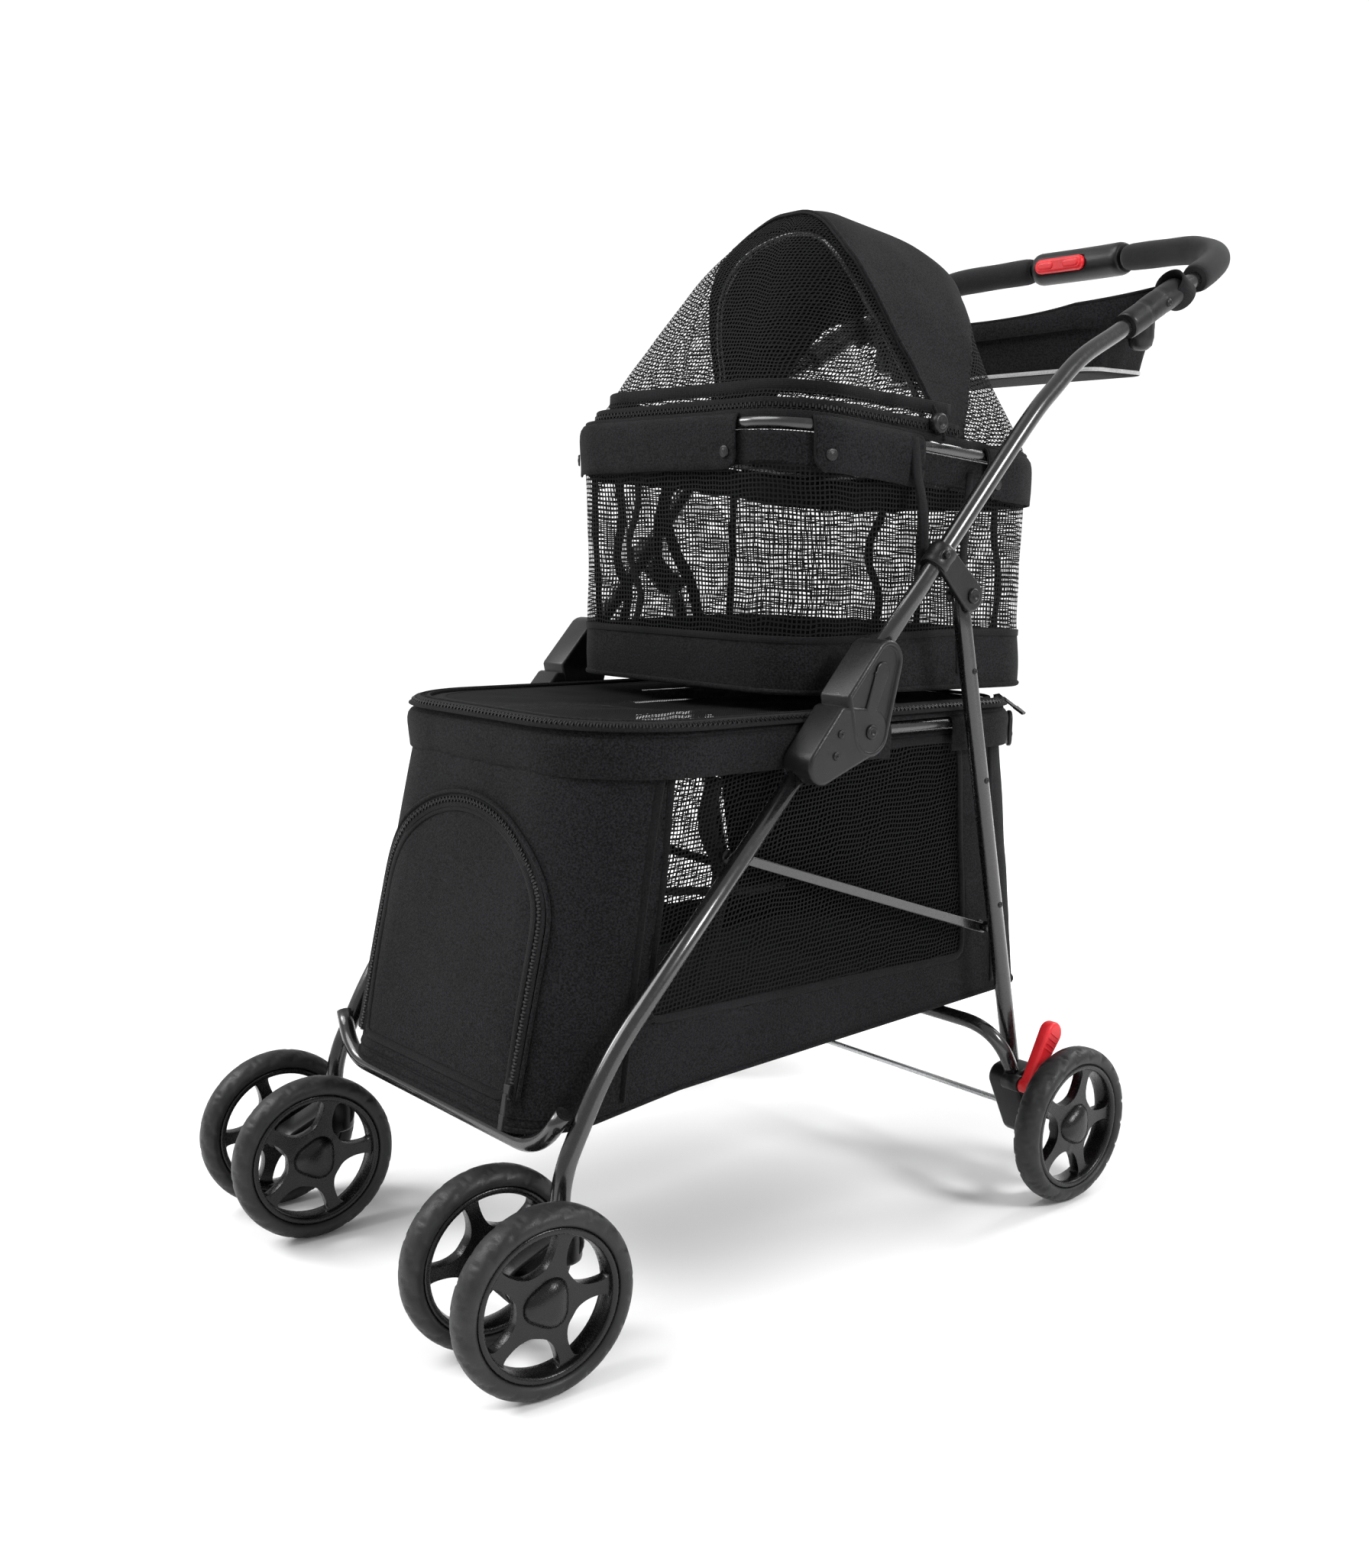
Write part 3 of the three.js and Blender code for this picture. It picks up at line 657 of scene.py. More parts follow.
STEM = tuple(PIVOT["left_caster_swivel"][:2])
AXLE_Z = PIVOT["left_rear_wheel_spin"][2]
CASTER_TURN = math.radians(-6)
CASTER_TRAIL = 40
REAR_AXLE = tuple(PIVOT["left_rear_wheel_spin"][1:])
FOLD = tuple(PIVOT["main_fold"][1:])
LEG_TOP = tuple(PIVOT["leg_fold"][1:])
STRUT_LOW = tuple(PIVOT["strut_fold"][1:])
STRUT_HIGH = (118, 262)
PEDAL = tuple(PIVOT["left_brake_press"][1:])
HOUSE_X = 200.5  # the fold housings' middle
TUBE_R = 8  # side tubes, rear legs and handlebar
CROSS_R = 7  # the two crossbars
SOCKET_R = 13  # handle sockets and bracket collars
GRIP_R = 14.4
RELEASE_R = 17.8
REAR_WHEEL_X = 258
CASTER_WHEEL_X = 44  # each front wheel's middle from its stem
LEG_RUN = np.array([0.2161, -0.9764])  # down a rear leg, in (y, z)
LEG_X = 198
LEG_LENGTH = 545


def along(s, n=0.0):
    """A point on the side tube's line: s up it and n below it, as (y, z)."""
    return (FOLD[0] - 18 + 0.6769 * s + 0.7361 * n, FOLD[1] + 17 + 0.7361 * s - 0.6769 * n)


def on_tube(side, s):
    y, z = along(s)
    return np.array([side * (196 + s * (15 / 350 if s < 0 else 12 / 330)), y, z])


def sided(side, points):
    return [np.array([side * p[0], *p[1:]], float) for p in points]


def mirrored(points):
    far = [np.array([-p[0], p[1], p[2]]) for p in points][::-1]
    return list(points) + far[1 if abs(points[-1][0]) < 1e-6 else 0 :]


def front_path(side):
    x, y = side * STEM[0], STEM[1]
    return eased([(x, y, 112), (x, y, 145, 26), (side * 181, -341, 230, 40), tuple(on_tube(side, -26))])


UPPER_CURVE = [(208, 119, 731), (209, 159, 767), (210, 198, 797), (211, 251, 823), (212.1, 301, 849)]


def upper_path(side):
    start = on_tube(side, 26)
    middle = on_tube(side, 180)
    return np.concatenate([[start], catmull([middle, *sided(side, UPPER_CURVE)], 6)])


BAR = [
    (212.3, 307, 852), (213, 341, 869), (213, 372, 882), (211, 398, 894), (205, 420, 905), (190, 440, 915),
    (170, 451, 922), (150, 457, 926), (110, 468, 929), (64, 477, 931.4), (0, 483, 932),
]


def hull_outline(circles, less=0.0, steps=48):
    """The outline of a cord pulled tight round circles (a, b, r), drawn in by less."""
    out = []
    for i in range(steps):
        a = 2 * math.pi * (i + 0.5) / steps
        ca, sa = math.cos(a), math.sin(a)
        best = max(circles, key=lambda c: c[0] * ca + c[1] * sa + c[2])
        r = max(best[2] - less, 0.4)
        out.append((best[0] + r * ca, best[1] + r * sa))
    return out


def slab(name, circles, rings, body, material, replaces=(), place=None, steps=48):
    """A plate through (inset, x) rings over a hull in (y, z)."""
    outer = hull_outline(circles, 0.0, 720)
    d = np.concatenate([[0], np.cumsum(np.linalg.norm(np.diff(np.array(outer + outer[:1]), axis=0), axis=1))])
    pick = [int(np.searchsorted(d, k * d[-1] / steps)) % 720 for k in range(steps)]
    verts = []
    for less, x in rings:
        line = hull_outline(circles, less, 720)
        verts += [np.array([x, *line[i]]) for i in pick]
    faces = grid(len(rings), steps, True)
    faces.append(tuple(reversed(range(steps))))
    faces.append(tuple((len(rings) - 1) * steps + i for i in range(steps)))
    if place is not None:
        verts = [place(v) for v in verts]
    obj = make(name, verts, faces, body, material, replaces)
    weld(obj, 0.01)
    for face in obj.data.polygons:
        face.use_smooth = len(face.vertices) < 6
    return obj


def rounded(x0, x1, r):
    """Rings for a plate from x0 to x1 with edges rounded by r."""
    return [
        (r, x0), (r * 0.62, x0 + r * 0.08), (r * 0.29, x0 + r * 0.29), (r * 0.08, x0 + r * 0.62), (0, x0 + r),
        (0, x1 - r), (r * 0.08, x1 - r * 0.62), (r * 0.29, x1 - r * 0.29), (r * 0.62, x1 - r * 0.08), (r, x1),
    ]


def mirror_x(side):
    return lambda v: np.array([side * v[0], v[1], v[2]])


def screw(name, centre, axis, r, body, material=None, high=1.8):
    """A domed cross-slot screw head standing on a surface."""
    slot = 0.16 * r
    lathe(
        name,
        [
            (0, -0.6), (r, -0.6), (r, high * 0.35), (r * 0.9, high * 0.7), (r * 0.6, high * 0.93),
            (r * 0.34, high), (r * 0.3, high - slot * 3), (0, high - slot * 3)
        ],
        centre, axis, body, material or SCREW, segments=20,
    )


def carve(obj, cutter):
    """Takes the cutter out of obj for good and removes it."""
    mod = modify(obj, "BOOLEAN", operation="DIFFERENCE", object=cutter, solver="EXACT")
    bpy.context.view_layer.update()
    graph = bpy.context.evaluated_depsgraph_get()
    mesh = bpy.data.meshes.new_from_object(obj.evaluated_get(graph))
    obj.modifiers.remove(mod)
    obj.data = mesh
    bpy.data.objects.remove(cutter)


# ---------------------------------------------------------------- camera, light and floor


def stage():
    scene = bpy.context.scene
    camera = bpy.data.objects.new("camera", bpy.data.cameras.new("camera"))
    scene.collection.objects.link(camera)
    camera.location = (1.127, -1.070, 0.646)
    camera.rotation_euler = (math.radians(90 - 9.35), 0, math.radians(49.5))
    camera.data.lens = 36.56
    camera.data.sensor_width = 36
    camera.data.sensor_fit = "AUTO"
    scene.camera = camera
    scene.view_settings.view_transform = "Standard"

    world = bpy.data.worlds.new("studio")
    scene.world = world
    world.use_nodes = True
    tree = world.node_tree
    back = tree.nodes["Background"]
    back.inputs["Color"].default_value = (1.0, 1.0, 1.0, 1)
    seen = tree.nodes.new("ShaderNodeLightPath").outputs["Is Camera Ray"]
    tree.links.new(ramp(tree, seen, 0.0, 1.0, 0.64, 1.15), back.inputs["Strength"])

    sun = bpy.data.lights.new("sun", "SUN")
    sun.energy = 2.0
    sun.angle = math.radians(40)
    obj = bpy.data.objects.new("sun", sun)
    obj.rotation_euler = Vector((-0.35, -0.75, 1.1)).to_track_quat("Z", "Y").to_euler()
    scene.collection.objects.link(obj)

    for name, place, size, power in (
        ("key", (2.8, 0.6, 2.2), 0.8, 70),
        ("left", (-2.4, -2.2, 2.4), 1.0, 50),
        ("rear", (0.4, 2.8, 2.4), 1.2, 45),
    ):
        lamp = bpy.data.lights.new(name, "AREA")
        lamp.size = size
        lamp.energy = power
        obj = bpy.data.objects.new(name, lamp)
        obj.location = place
        obj.rotation_euler = (Vector(place) - Vector((0, 0, 0.5))).to_track_quat("Z", "Y").to_euler()
        scene.collection.objects.link(obj)

    mesh = bpy.data.meshes.new("floor")
    s = 60.0
    mesh.from_pydata(
        [(-s, -s, -0.0005), (s, -s, -0.0005), (s, s, -0.0005), (-s, s, -0.0005)], [], [(0, 1, 2, 3)]
    )
    floor = bpy.data.objects.new("floor", mesh)
    scene.collection.objects.link(floor)
    mat, tree, shader = base_material("pale_floor", (0.95, 0.95, 0.95), 0.8)
    tree.links.new(
        ramp(tree, noise_of(tree, 3.0), 0.3, 0.7, (0.94, 0.94, 0.94), (0.96, 0.96, 0.96)),
        shader.inputs["Base Color"]
    )
    mesh.materials.append(mat)


# ---------------------------------------------------------------- wheels

TYRE_PROFILE = [
    (60.3, -9.4), (61.4, -11.6), (63.4, -12.8), (66, -13.3), (68.6, -12.7), (71.2, -11.0), (73.2, -8.6),
    (74.5, -5.6),
    (75, -2.0), (75, 2.0), (74.5, 5.6), (73.2, 8.6), (71.2, 11.0), (68.6, 12.7), (66, 13.3), (63.4, 12.8),
    (61.4, 11.6),
    (60.3, 9.4),
]


def tyre(name, centre, axis, body, node):
    """A moulded tyre with slanting grooves cut into its shoulders and a line round its middle."""
    axis = unit(np.array(axis, float))
    side = unit(np.cross(axis, (0, 0, 1.0)))
    up = np.cross(side, axis)
    segments, grooves = 240, 20
    verts = []
    for s in range(segments):
        a = 2 * math.pi * s / segments
        for r, h in TYRE_PROFILE:
            turn = (a * grooves / (2 * math.pi) + abs(h) * 0.085 + (0.5 if h > 0 else 0)) % 1
            depth = 1.4 if turn < 0.2 and 65 < r < 74.9 else 0.0
            scale = (r - depth) / r
            out = h * (1 - 0.35 * depth / 13)
            verts.append(np.array(centre) + axis * out + (side * math.cos(a) + up * math.sin(a)) * r * scale)
    faces = grid(segments, len(TYRE_PROFILE), True, True)
    obj = make(name, verts, faces, body, TYRE, (node,))
    weld(obj, 0.005)
    return obj


def wheel_rim(name, centre, axis, outward, body, node):
    """A five-spoke moulded wheel with filleted windows, a lip each side and a rounded hub cap."""
    axis = unit(np.array(axis, float)) * outward
    side = unit(np.cross(axis, (0, 0, 1.0)))
    up = np.cross(side, axis)
    centre = np.array(centre, float)

    def place(r, a, h):
        return centre + axis * h + (side * math.cos(a) + up * math.sin(a)) * r

    lip = [
        (54.6, -9.2), (55.6, -10.6), (58.6, -11.0), (60.2, -10.0), (60.4, -8.6), (60.4, 8.6),
        (60.2, 10.0), (58.6, 11.0), (55.6, 10.6), (54.6, 9.2), (53.8, 4.5), (53.4, 0), (53.8, -4.5)
    ]
    lathe(f"{name}_rim_ring", lip, centre, axis, body, WHEEL, (node,), segments=72)

    radii = np.linspace(14, 55, 30)
    turns = np.linspace(0, 2 * math.pi, 151)[:-1]
    verts = [(r, a) for r in radii for a in turns]
    level = []
    for r, a in verts:
        off = (a + math.pi / 5) % (2 * math.pi / 5) - math.pi / 5
        window = smooth_min(
            [
                14.6 - abs(r - 40.2),
                r * math.pi / 5 - 5.4 - 2.6 * math.exp(-(((r - 25) / 9) ** 2)) - abs(off) * r
            ],
            3.0
        )
        level.append(-window)
    faces = grid(len(radii), len(turns), True)
    flat = [(r * math.cos(a), r * math.sin(a)) for r, a in verts]
    cut, kept, _ = clip(flat, faces, level)
    points = []
    for p in cut:
        r = math.hypot(*p)
        a = math.atan2(p[1], p[0])
        ridge = abs(((a + math.pi / 5) % (2 * math.pi / 5) - math.pi / 5) * r)
        dish = 3.2 + 2.8 * math.exp(-(((r - 20) / 10) ** 2)) + 2.0 * math.exp(-(((r - 55) / 6) ** 2))
        dish += 1 - min(1, ridge / 4)
        points.append(place(r, a, dish))
    spokes = make(f"{name}_spokes", points, kept, body, WHEEL)
    weld(spokes, 0.02)
    modify(spokes, "SOLIDIFY", thickness=10.0 * MM, offset=0.0)
    modify(spokes, "BEVEL", width=1.1 * MM, segments=2, limit_method="ANGLE", angle_limit=math.radians(50))
    for v in spokes.data.vertices:
        p = np.array(v.co) / MM
        v.co = Vector((p - axis * ((p - centre) @ axis) * 0.75) * MM)

    cap = [
        (0, 14.9), (5, 14.7), (10, 13.9), (14.4, 12.2), (17.6, 9.7), (19.4, 6.6), (19.8, 3.0),
        (19.8, -6.0), (18, -9.4), (14.8, -11.8), (0, -11.8)
    ]
    lathe(f"{name}_hub_cap", cap, centre, axis, body, WHEEL, segments=48, lobes=0.1)


def rear_wheels():
    for hand, side in SIDES:
        centre = (side * REAR_WHEEL_X, *REAR_AXLE)
        body = f"{hand}_rear_wheel"
        tyre(f"{hand}_rear_wheel_tread", centre, (1, 0, 0), body, f"{hand}_rear_tyre")
        wheel_rim(f"{hand}_rear_wheel", centre, (1, 0, 0), side, body, f"{hand}_rear_rim")


def caster_place(side):
    c, s = math.cos(CASTER_TURN), math.sin(CASTER_TURN)

    def place(v):
        return np.array([side * STEM[0] + c * v[0] - s * v[1], STEM[1] + s * v[0] + c * v[1], v[2]])

    return place


def casters():
    c, s = math.cos(CASTER_TURN), math.sin(CASTER_TURN)
    for hand, side in SIDES:
        place = caster_place(side)
        for which, k in (("outer", side), ("inner", -side)):
            centre = place((k * CASTER_WHEEL_X, -CASTER_TRAIL, AXLE_Z))
            body = f"{hand}_{which}_front_wheel"
            node = f"{hand}_caster_{which}"
            tyre(f"{hand}_{which}_front_tread", centre, (c, s, 0), body, f"{node}_tyre")
            wheel_rim(f"{hand}_{which}_front_wheel", centre, (c, s, 0), k, body, f"{node}_rim")
        body = f"{hand}_caster"
        arm = [(0, 96, 14), (-CASTER_TRAIL, AXLE_Z, 17)]
        rings = [
            (5.5, -11.5), (4.5, -11.9), (4.2, -14.2), (2.6, -15), (0.8, -14.4), (0, -13), (0, 13),
            (0.8, 14.4), (2.6, 15), (4.2, 14.2), (4.5, 11.9), (5.5, 11.5)
        ]
        slab(f"{hand}_caster_fork", arm, rings, body, PLASTIC, (f"{hand}_caster_housing",), place)
        hub = place((0, 0, 0))
        lathe(
            f"{hand}_caster_hub",
            [
                (0, 80), (14.8, 80), (16.4, 81.2), (17, 83.5), (17, 104), (16.2, 108.5), (13.8, 110.8),
                (10.5, 111.4), (0, 111.4)
            ],
            hub, (0, 0, 1), body, PLASTIC, segments=40
        )
        tube_centre = place((0, -CASTER_TRAIL, AXLE_Z))
        lathe(
            f"{hand}_caster_collar", [(0, -31), (7.6, -31), (9, -29.8), (9, 29.8), (7.6, 31), (0, 31)],
            tube_centre, (c, s, 0), body, PLASTIC, segments=32
        )
        lathe(
            f"{hand}_caster_rod",
            [
                (0, -57.9), (4.6, -57.9), (7, -57.0), (7.6, -56.4), (4, -56.2), (4, 56.2), (7.6, 56.4),
                (7, 57.0), (4.6, 57.9), (0, 57.9)
            ],
            tube_centre, (c, s, 0), body, STEEL, (f"{hand}_caster_axle",), segments=24,
        )


# ---------------------------------------------------------------- tubes and fittings


def front_frame():
    for hand, side in SIDES:
        tube(
            f"{hand}_front_side_tube", front_path(side), TUBE_R, "lower_frame", BLACK,
            (f"{hand}_front_tube",), sides=28
        )
        lathe(
            f"{hand}_caster_stem",
            [
                (0, 81), (5, 81), (5, 112.5), (8.6, 112.5), (9.2, 113.4), (9.2, 119.4), (8.3, 120.4),
                (0, 120.4)
            ],
            (side * STEM[0], STEM[1], 0), (0, 0, 1), "lower_frame", STEEL, segments=28
        )
        y, z = STRUT_LOW
        lathe(
            f"{hand}_strut_stud",
            [(0, 171.6), (3.6, 171.8), (5.7, 172.8), (6, 174.0), (3, 174.1), (3, 190), (0, 190)],
            (0, y, z), (side, 0, 0), "lower_frame", SCREW, segments=24
        )
    half = eased([(-174, -378.5, 194), (-148, -385, 158, 28), (0, -385, 158)])
    tube("front_crossbar_tube", mirrored(half), CROSS_R, "lower_frame", BLACK, ("front_crossbar",), sides=24)


def fold_joints():
    for hand, side in SIDES:
        place = mirror_x(side)
        base = [(*along(-55), 16.8), (*along(-8, 12), 5), (*along(-8, -12), 5), (*FOLD, 21)]
        x0, x1 = HOUSE_X - 16.7, HOUSE_X + 16.7
        slab(
            f"{hand}_fold_lower", base, rounded(x0, x1, 3.2), "lower_frame", PLASTIC,
            (f"{hand}_fold_base",), place, 72
        )
        cap = [(*along(57), 18), (*along(6, 12), 5), (*along(6, -13), 5), (*FOLD, 22)]
        face = rounded(HOUSE_X - 17.2, HOUSE_X + 17.2, 2.6)[:-1]
        lip = [
            (2.4, HOUSE_X + 17.4), (4.2, HOUSE_X + 17.4), (5.0, HOUSE_X + 16.9), (5.4, HOUSE_X + 15.4),
            (6.4, HOUSE_X + 15.0)
        ]
        slab(f"{hand}_fold_upper", cap, face + lip, "handle_frame", PLASTIC, (f"{hand}_fold_cap",), place, 72)
        inner = [(*along(46, 1), 8.5), (*along(14, 12), 6.5)]
        slab(
            f"{hand}_fold_boss", inner,
            [(0.6, HOUSE_X + 14), (0, HOUSE_X + 15.6), (0.6, HOUSE_X + 16.4), (1.8, HOUSE_X + 16.8)],
            "handle_frame", PLASTIC, (), place, 48
        )
        y, z = FOLD
        lathe(
            f"{hand}_fold_rivet",
            [
                (0, 180.4), (5.6, 180.6), (6.6, 181.6), (6.8, 183.2), (4, 183.4), (4, 217), (6.4, 217.2),
                (6.2, 218.4), (4.8, 219.2), (2.8, 219.3), (2.2, 218.2), (0, 218)
            ],
            (0, y, z), (side, 0, 0), "lower_frame", SCREW, (f"{hand}_fold_pin",), segments=28
        )
        for i, (s, n) in enumerate(((-24, -3), (-41, 5))):
            y, z = along(s, n)
            screw(f"{hand}_fold_screw_{i}", (side * (x1 - 0.2), y, z), (side, 0, 0), 3.6, "lower_frame")
        y, z = along(40, -3)
        screw(f"{hand}_cap_screw_0", (side * (HOUSE_X + 15), y, z), (side, 0, 0), 3.2, "handle_frame")


def handle():
    for hand, side in SIDES:
        tube(
            f"{hand}_upper_side_tube", upper_path(side), TUBE_R, "handle_frame", BLACK,
            (f"{hand}_upper_tube",), sides=28
        )
        sleeve = catmull(
            sided(
                side,
                [
                    (211.2, 262, 828.6), (211.7, 283, 839), (212.1, 301, 849), (212.6, 321, 859),
                    (213, 341, 869)
                ]
            ),
            6
        )
        n = len(sleeve)
        radii = []
        for i in range(n):
            t = i / (n - 1)
            end = min(t, 1 - t)
            radii.append(
                0.93 + 0.07 * min(end / 0.05, 1) - (0.05 if 0.30 < t < 0.36 or 0.64 < t < 0.70 else 0)
            )
        tube(
            f"{hand}_bar_socket", sleeve, SOCKET_R, "handle_frame", PLASTIC, (f"{hand}_handle_socket",),
            sides=32, radii=radii
        )
        screw(
            f"{hand}_socket_screw", (side * 224.6, 312, 853.5), (side, 0, 0.05), 4.2, "handle_frame",
            high=2.2
        )
        path = even(catmull(sided(side, BAR[2:10]), 8), 4)
        n = len(path)
        radii = []
        for i in range(n):
            t = i / (n - 1)
            end = min(i, n - 1 - i) * 4
            radii.append((0.9 + 0.1 * min(end / 6, 1)) * (1 + 0.012 * math.sin(t * 23 + side)))
        tube(
            f"{hand}_foam_grip", path, GRIP_R, "handle_frame", FOAM, (f"{hand}_grip",), sides=32,
            radii=radii
        )
    tube(
        "handlebar_core", even(catmull(mirrored([np.array(p, float) for p in BAR]), 6), 8), TUBE_R,
        "handle_frame", BLACK, ("handlebar_tube",), sides=24
    )
    path = even(
        catmull(
            [
                (-58, 478.2, 931.6), (-30, 481.4, 931.9), (0, 483, 932), (30, 481.6, 931.8),
                (60, 477.9, 931.5)
            ],
            8
        ),
        2.5
    )
    n = len(path)
    radii = []
    for i in range(n):
        end = min(i, n - 1 - i) * 2.5
        radii.append(0.84 + 0.16 * math.sqrt(min(end / 7, 1)))
    housing = tube(
        "release_grip_shell", path, RELEASE_R, "handle_frame", PLASTIC, ("release_housing",), sides=48,
        radii=radii
    )
    swap = lambda v: np.array([v[1], v[0], v[2]])
    slot = slab(
        "slot_cutter", [(-42, 932, 8.6), (7, 932, 8.6)], [(0, 440), (0, 471.6)], "handle_frame", PLASTIC,
        (), swap
    )
    carve(housing, slot)
    rings = [(3.4, 459.2), (1.8, 459.5), (0.6, 460.6), (0, 462.4), (0, 466.4)]
    slab(
        "release_key", [(-42, 932, 8), (7, 932, 8)], rings, "release_button", RED, ("release_button",),
        swap, 64
    )
    for i, x in enumerate((-34, 0)):
        slab(
            f"release_key_pad_{i}", [(x - 7, 932, 4.4), (x + 6, 932, 4.4)],
            [(0, 459.6), (0.3, 458.9), (1.3, 458.4), (2.6, 458.3)], "release_button", RED, (), swap, 40
        )


def brackets():
    for hand, side in SIDES:
        line = [on_tube(side, s) for s in np.linspace(160, 182, 12)]
        radii = [0.93, 0.985, 1, 1, 0.97, 0.97, 0.97, 0.97, 1, 1, 0.985, 0.93]
        tube(
            f"{hand}_bracket_collar", line, SOCKET_R, "handle_frame", PLASTIC, (f"{hand}_leg_bracket",),
            sides=32, radii=radii
        )
        lobe = [(*along(171, 2), 12), (*LEG_TOP, 14)]
        slab(
            f"{hand}_bracket_lobe", lobe, rounded(206.6, 213.2, 2.2), "handle_frame", PLASTIC, (),
            mirror_x(side)
        )
        y, z = LEG_TOP
        lathe(
            f"{hand}_leg_bolt",
            [
                (0, 186), (5.4, 186.2), (6, 187.2), (6, 189.2), (3.5, 189.4), (3.5, 213), (7, 213.2),
                (7, 214.4), (6.2, 215.6), (4.0, 216), (3.2, 214.9), (0, 214.7)
            ],
            (0, y, z), (side, 0, 0), "rear_legs", SCREW, (f"{hand}_leg_pin",), segments=24,
        )
        y, z = along(171, -6)
        screw(f"{hand}_collar_screw", (side * (204.5 + 11.6), y, z), (side, 0, 0), 3.2, "handle_frame")


def rear_frame():
    for hand, side in SIDES:
        top = np.array(LEG_TOP) - LEG_RUN * 12
        low = np.array(REAR_AXLE) + LEG_RUN * 15
        line = [(side * (LEG_X - 4 * t), *(top + (low - top) * t)) for t in np.linspace(0, 1, 14)]
        radii = [0.9] + [1] * 12 + [0.92]
        tube(
            f"{hand}_leg_tube", line, TUBE_R, "rear_legs", BLACK, (f"{hand}_rear_leg",), sides=28,
            radii=radii
        )
        y, z = STRUT_HIGH
        lathe(
            f"{hand}_strut_boss", [(0, 180.9), (5, 180.9), (5, 190), (0, 190)], (0, y, z), (side, 0, 0),
            "rear_legs", BLACK, segments=24
        )
        shoe = [(138, 110, 13), (152, 112, 13), (162, 63, 14)]
        slab(
            f"{hand}_leg_foot", shoe, rounded(184.5, 219.5, 4.0), "rear_legs", PLASTIC,
            (f"{hand}_leg_shoe",), mirror_x(side), 56
        )
        y, z = PEDAL
        lathe(
            f"{hand}_pedal_boss",
            [
                (0, 205), (8, 205), (8, 222.6), (7.2, 223.4), (3, 223.6), (3, 237.4), (4.8, 237.6),
                (4.6, 239.4), (3.2, 240), (0, 240)
            ],
            (0, y, z), (side, 0, 0), "rear_legs", PLASTIC, segments=28
        )
        for i, d in enumerate((70, 175, 300)):
            p = np.array(LEG_TOP) + LEG_RUN * d
            screw(
                f"{hand}_leg_rivet_{i}", (side * (LEG_X + 7.6 - 4 * d / LEG_LENGTH), *p), (side, 0, 0),
                3.0, "rear_legs", high=1.4
            )
        paddle = [(*PEDAL, 6.0), (144, 136, 8.2), (160, 158, 12)]
        slab(
            f"{hand}_pedal_paddle", paddle, rounded(224.6, 237.2, 3.6), f"{hand}_brake", RED,
            (f"{hand}_brake_pedal",), mirror_x(side), 56
        )
        lathe(
            f"{hand}_pedal_hub",
            [(3.5, 224.2), (6.2, 224.2), (7, 225), (7, 236), (6.2, 236.8), (3.5, 236.8)], (0, y, z),
            (side, 0, 0), f"{hand}_brake", RED, segments=28
        )
        for i in range(4):
            c = np.array([151, 146]) + np.array([0.58, 0.81]) * (i * 5.2 - 2)
            slab(
                f"{hand}_pedal_rib_{i}", [(c[0] - 5.4, c[1] + 3.8, 1.0), (c[0] + 5.4, c[1] - 3.8, 1.0)],
                [(0, 236.4), (0, 237.6), (0.5, 238.1)], f"{hand}_brake", RED, (), mirror_x(side), 20
            )
        low_end, high_end = STRUT_LOW, STRUT_HIGH
        slab(
            f"{hand}_strut_bar", [(*low_end, 6), (*high_end, 7)], rounded(174.5, 180.5, 1.4), "struts",
            BLACK, (f"{hand}_strut",), mirror_x(side), 64
        )
        lathe(
            f"{hand}_strut_bolt", [(0, 171.6), (4, 171.8), (5, 172.8), (5, 175.4), (0, 175.4)],
            (0, *high_end), (side, 0, 0), "struts", SCREW, segments=24
        )
    half = eased([(-210, 142, 98), (-205, 112, 166, 42), (0, 112, 166)])
    tube("rear_crossbar_tube", mirrored(half), CROSS_R, "rear_legs", BLACK, ("rear_crossbar",), sides=24)
    rod = [
        (0, -271.7), (5, -271.6), (7.4, -270.9), (7.8, -270.2), (3, -270.1), (3, 270.1), (7.8, 270.2),
        (7.4, 270.9), (5, 271.6), (0, 271.7)
    ]
    lathe("rear_axle_rod", rod, (0, *REAR_AXLE), (1, 0, 0), "rear_legs", STEEL, ("rear_axle",), segments=24)

# ---------------------------------------------------------------- lower basket


def basket_push(p, n, t, u):
    """The walls belly a little between their bound edges and ripple."""
    belly = 1.6 * math.sin(math.pi * min(max(t, 0), 1))
    wave = math.sin(math.pi * t)
    return -0.6 + belly * 0.4 + 1.5 * ripple(p, 85, 3.1) * wave - 0.7 * abs(ripple(p, 34, 7.7)) * wave


def carrier_push(p, n, t, u):
    wave = math.sin(math.pi * t)
    low = 1.8 * math.exp(-((t - 0.1) / 0.12) ** 2)
    return -0.8 - 3.0 * wave * (0.6 + 0.5 * ripple(p, 110, 1.3)) + low + 1.4 * wave * ripple(p, 40, 5.2)


def ring(o, us=None, out=0.0, up=0.0):
    """Points round an outline, moved outward and up."""
    pts = []
    for u in us if us is not None else WALL_U:
        p, n = on_outline(o, u)
        pts.append(p + n * out + np.array([0, 0, up]))
    return np.array(pts)


def rim_z(o, y):
    return o["zf"] + (o["zb"] - o["zf"]) * (y - o["f"]) / (o["b"] - o["f"])


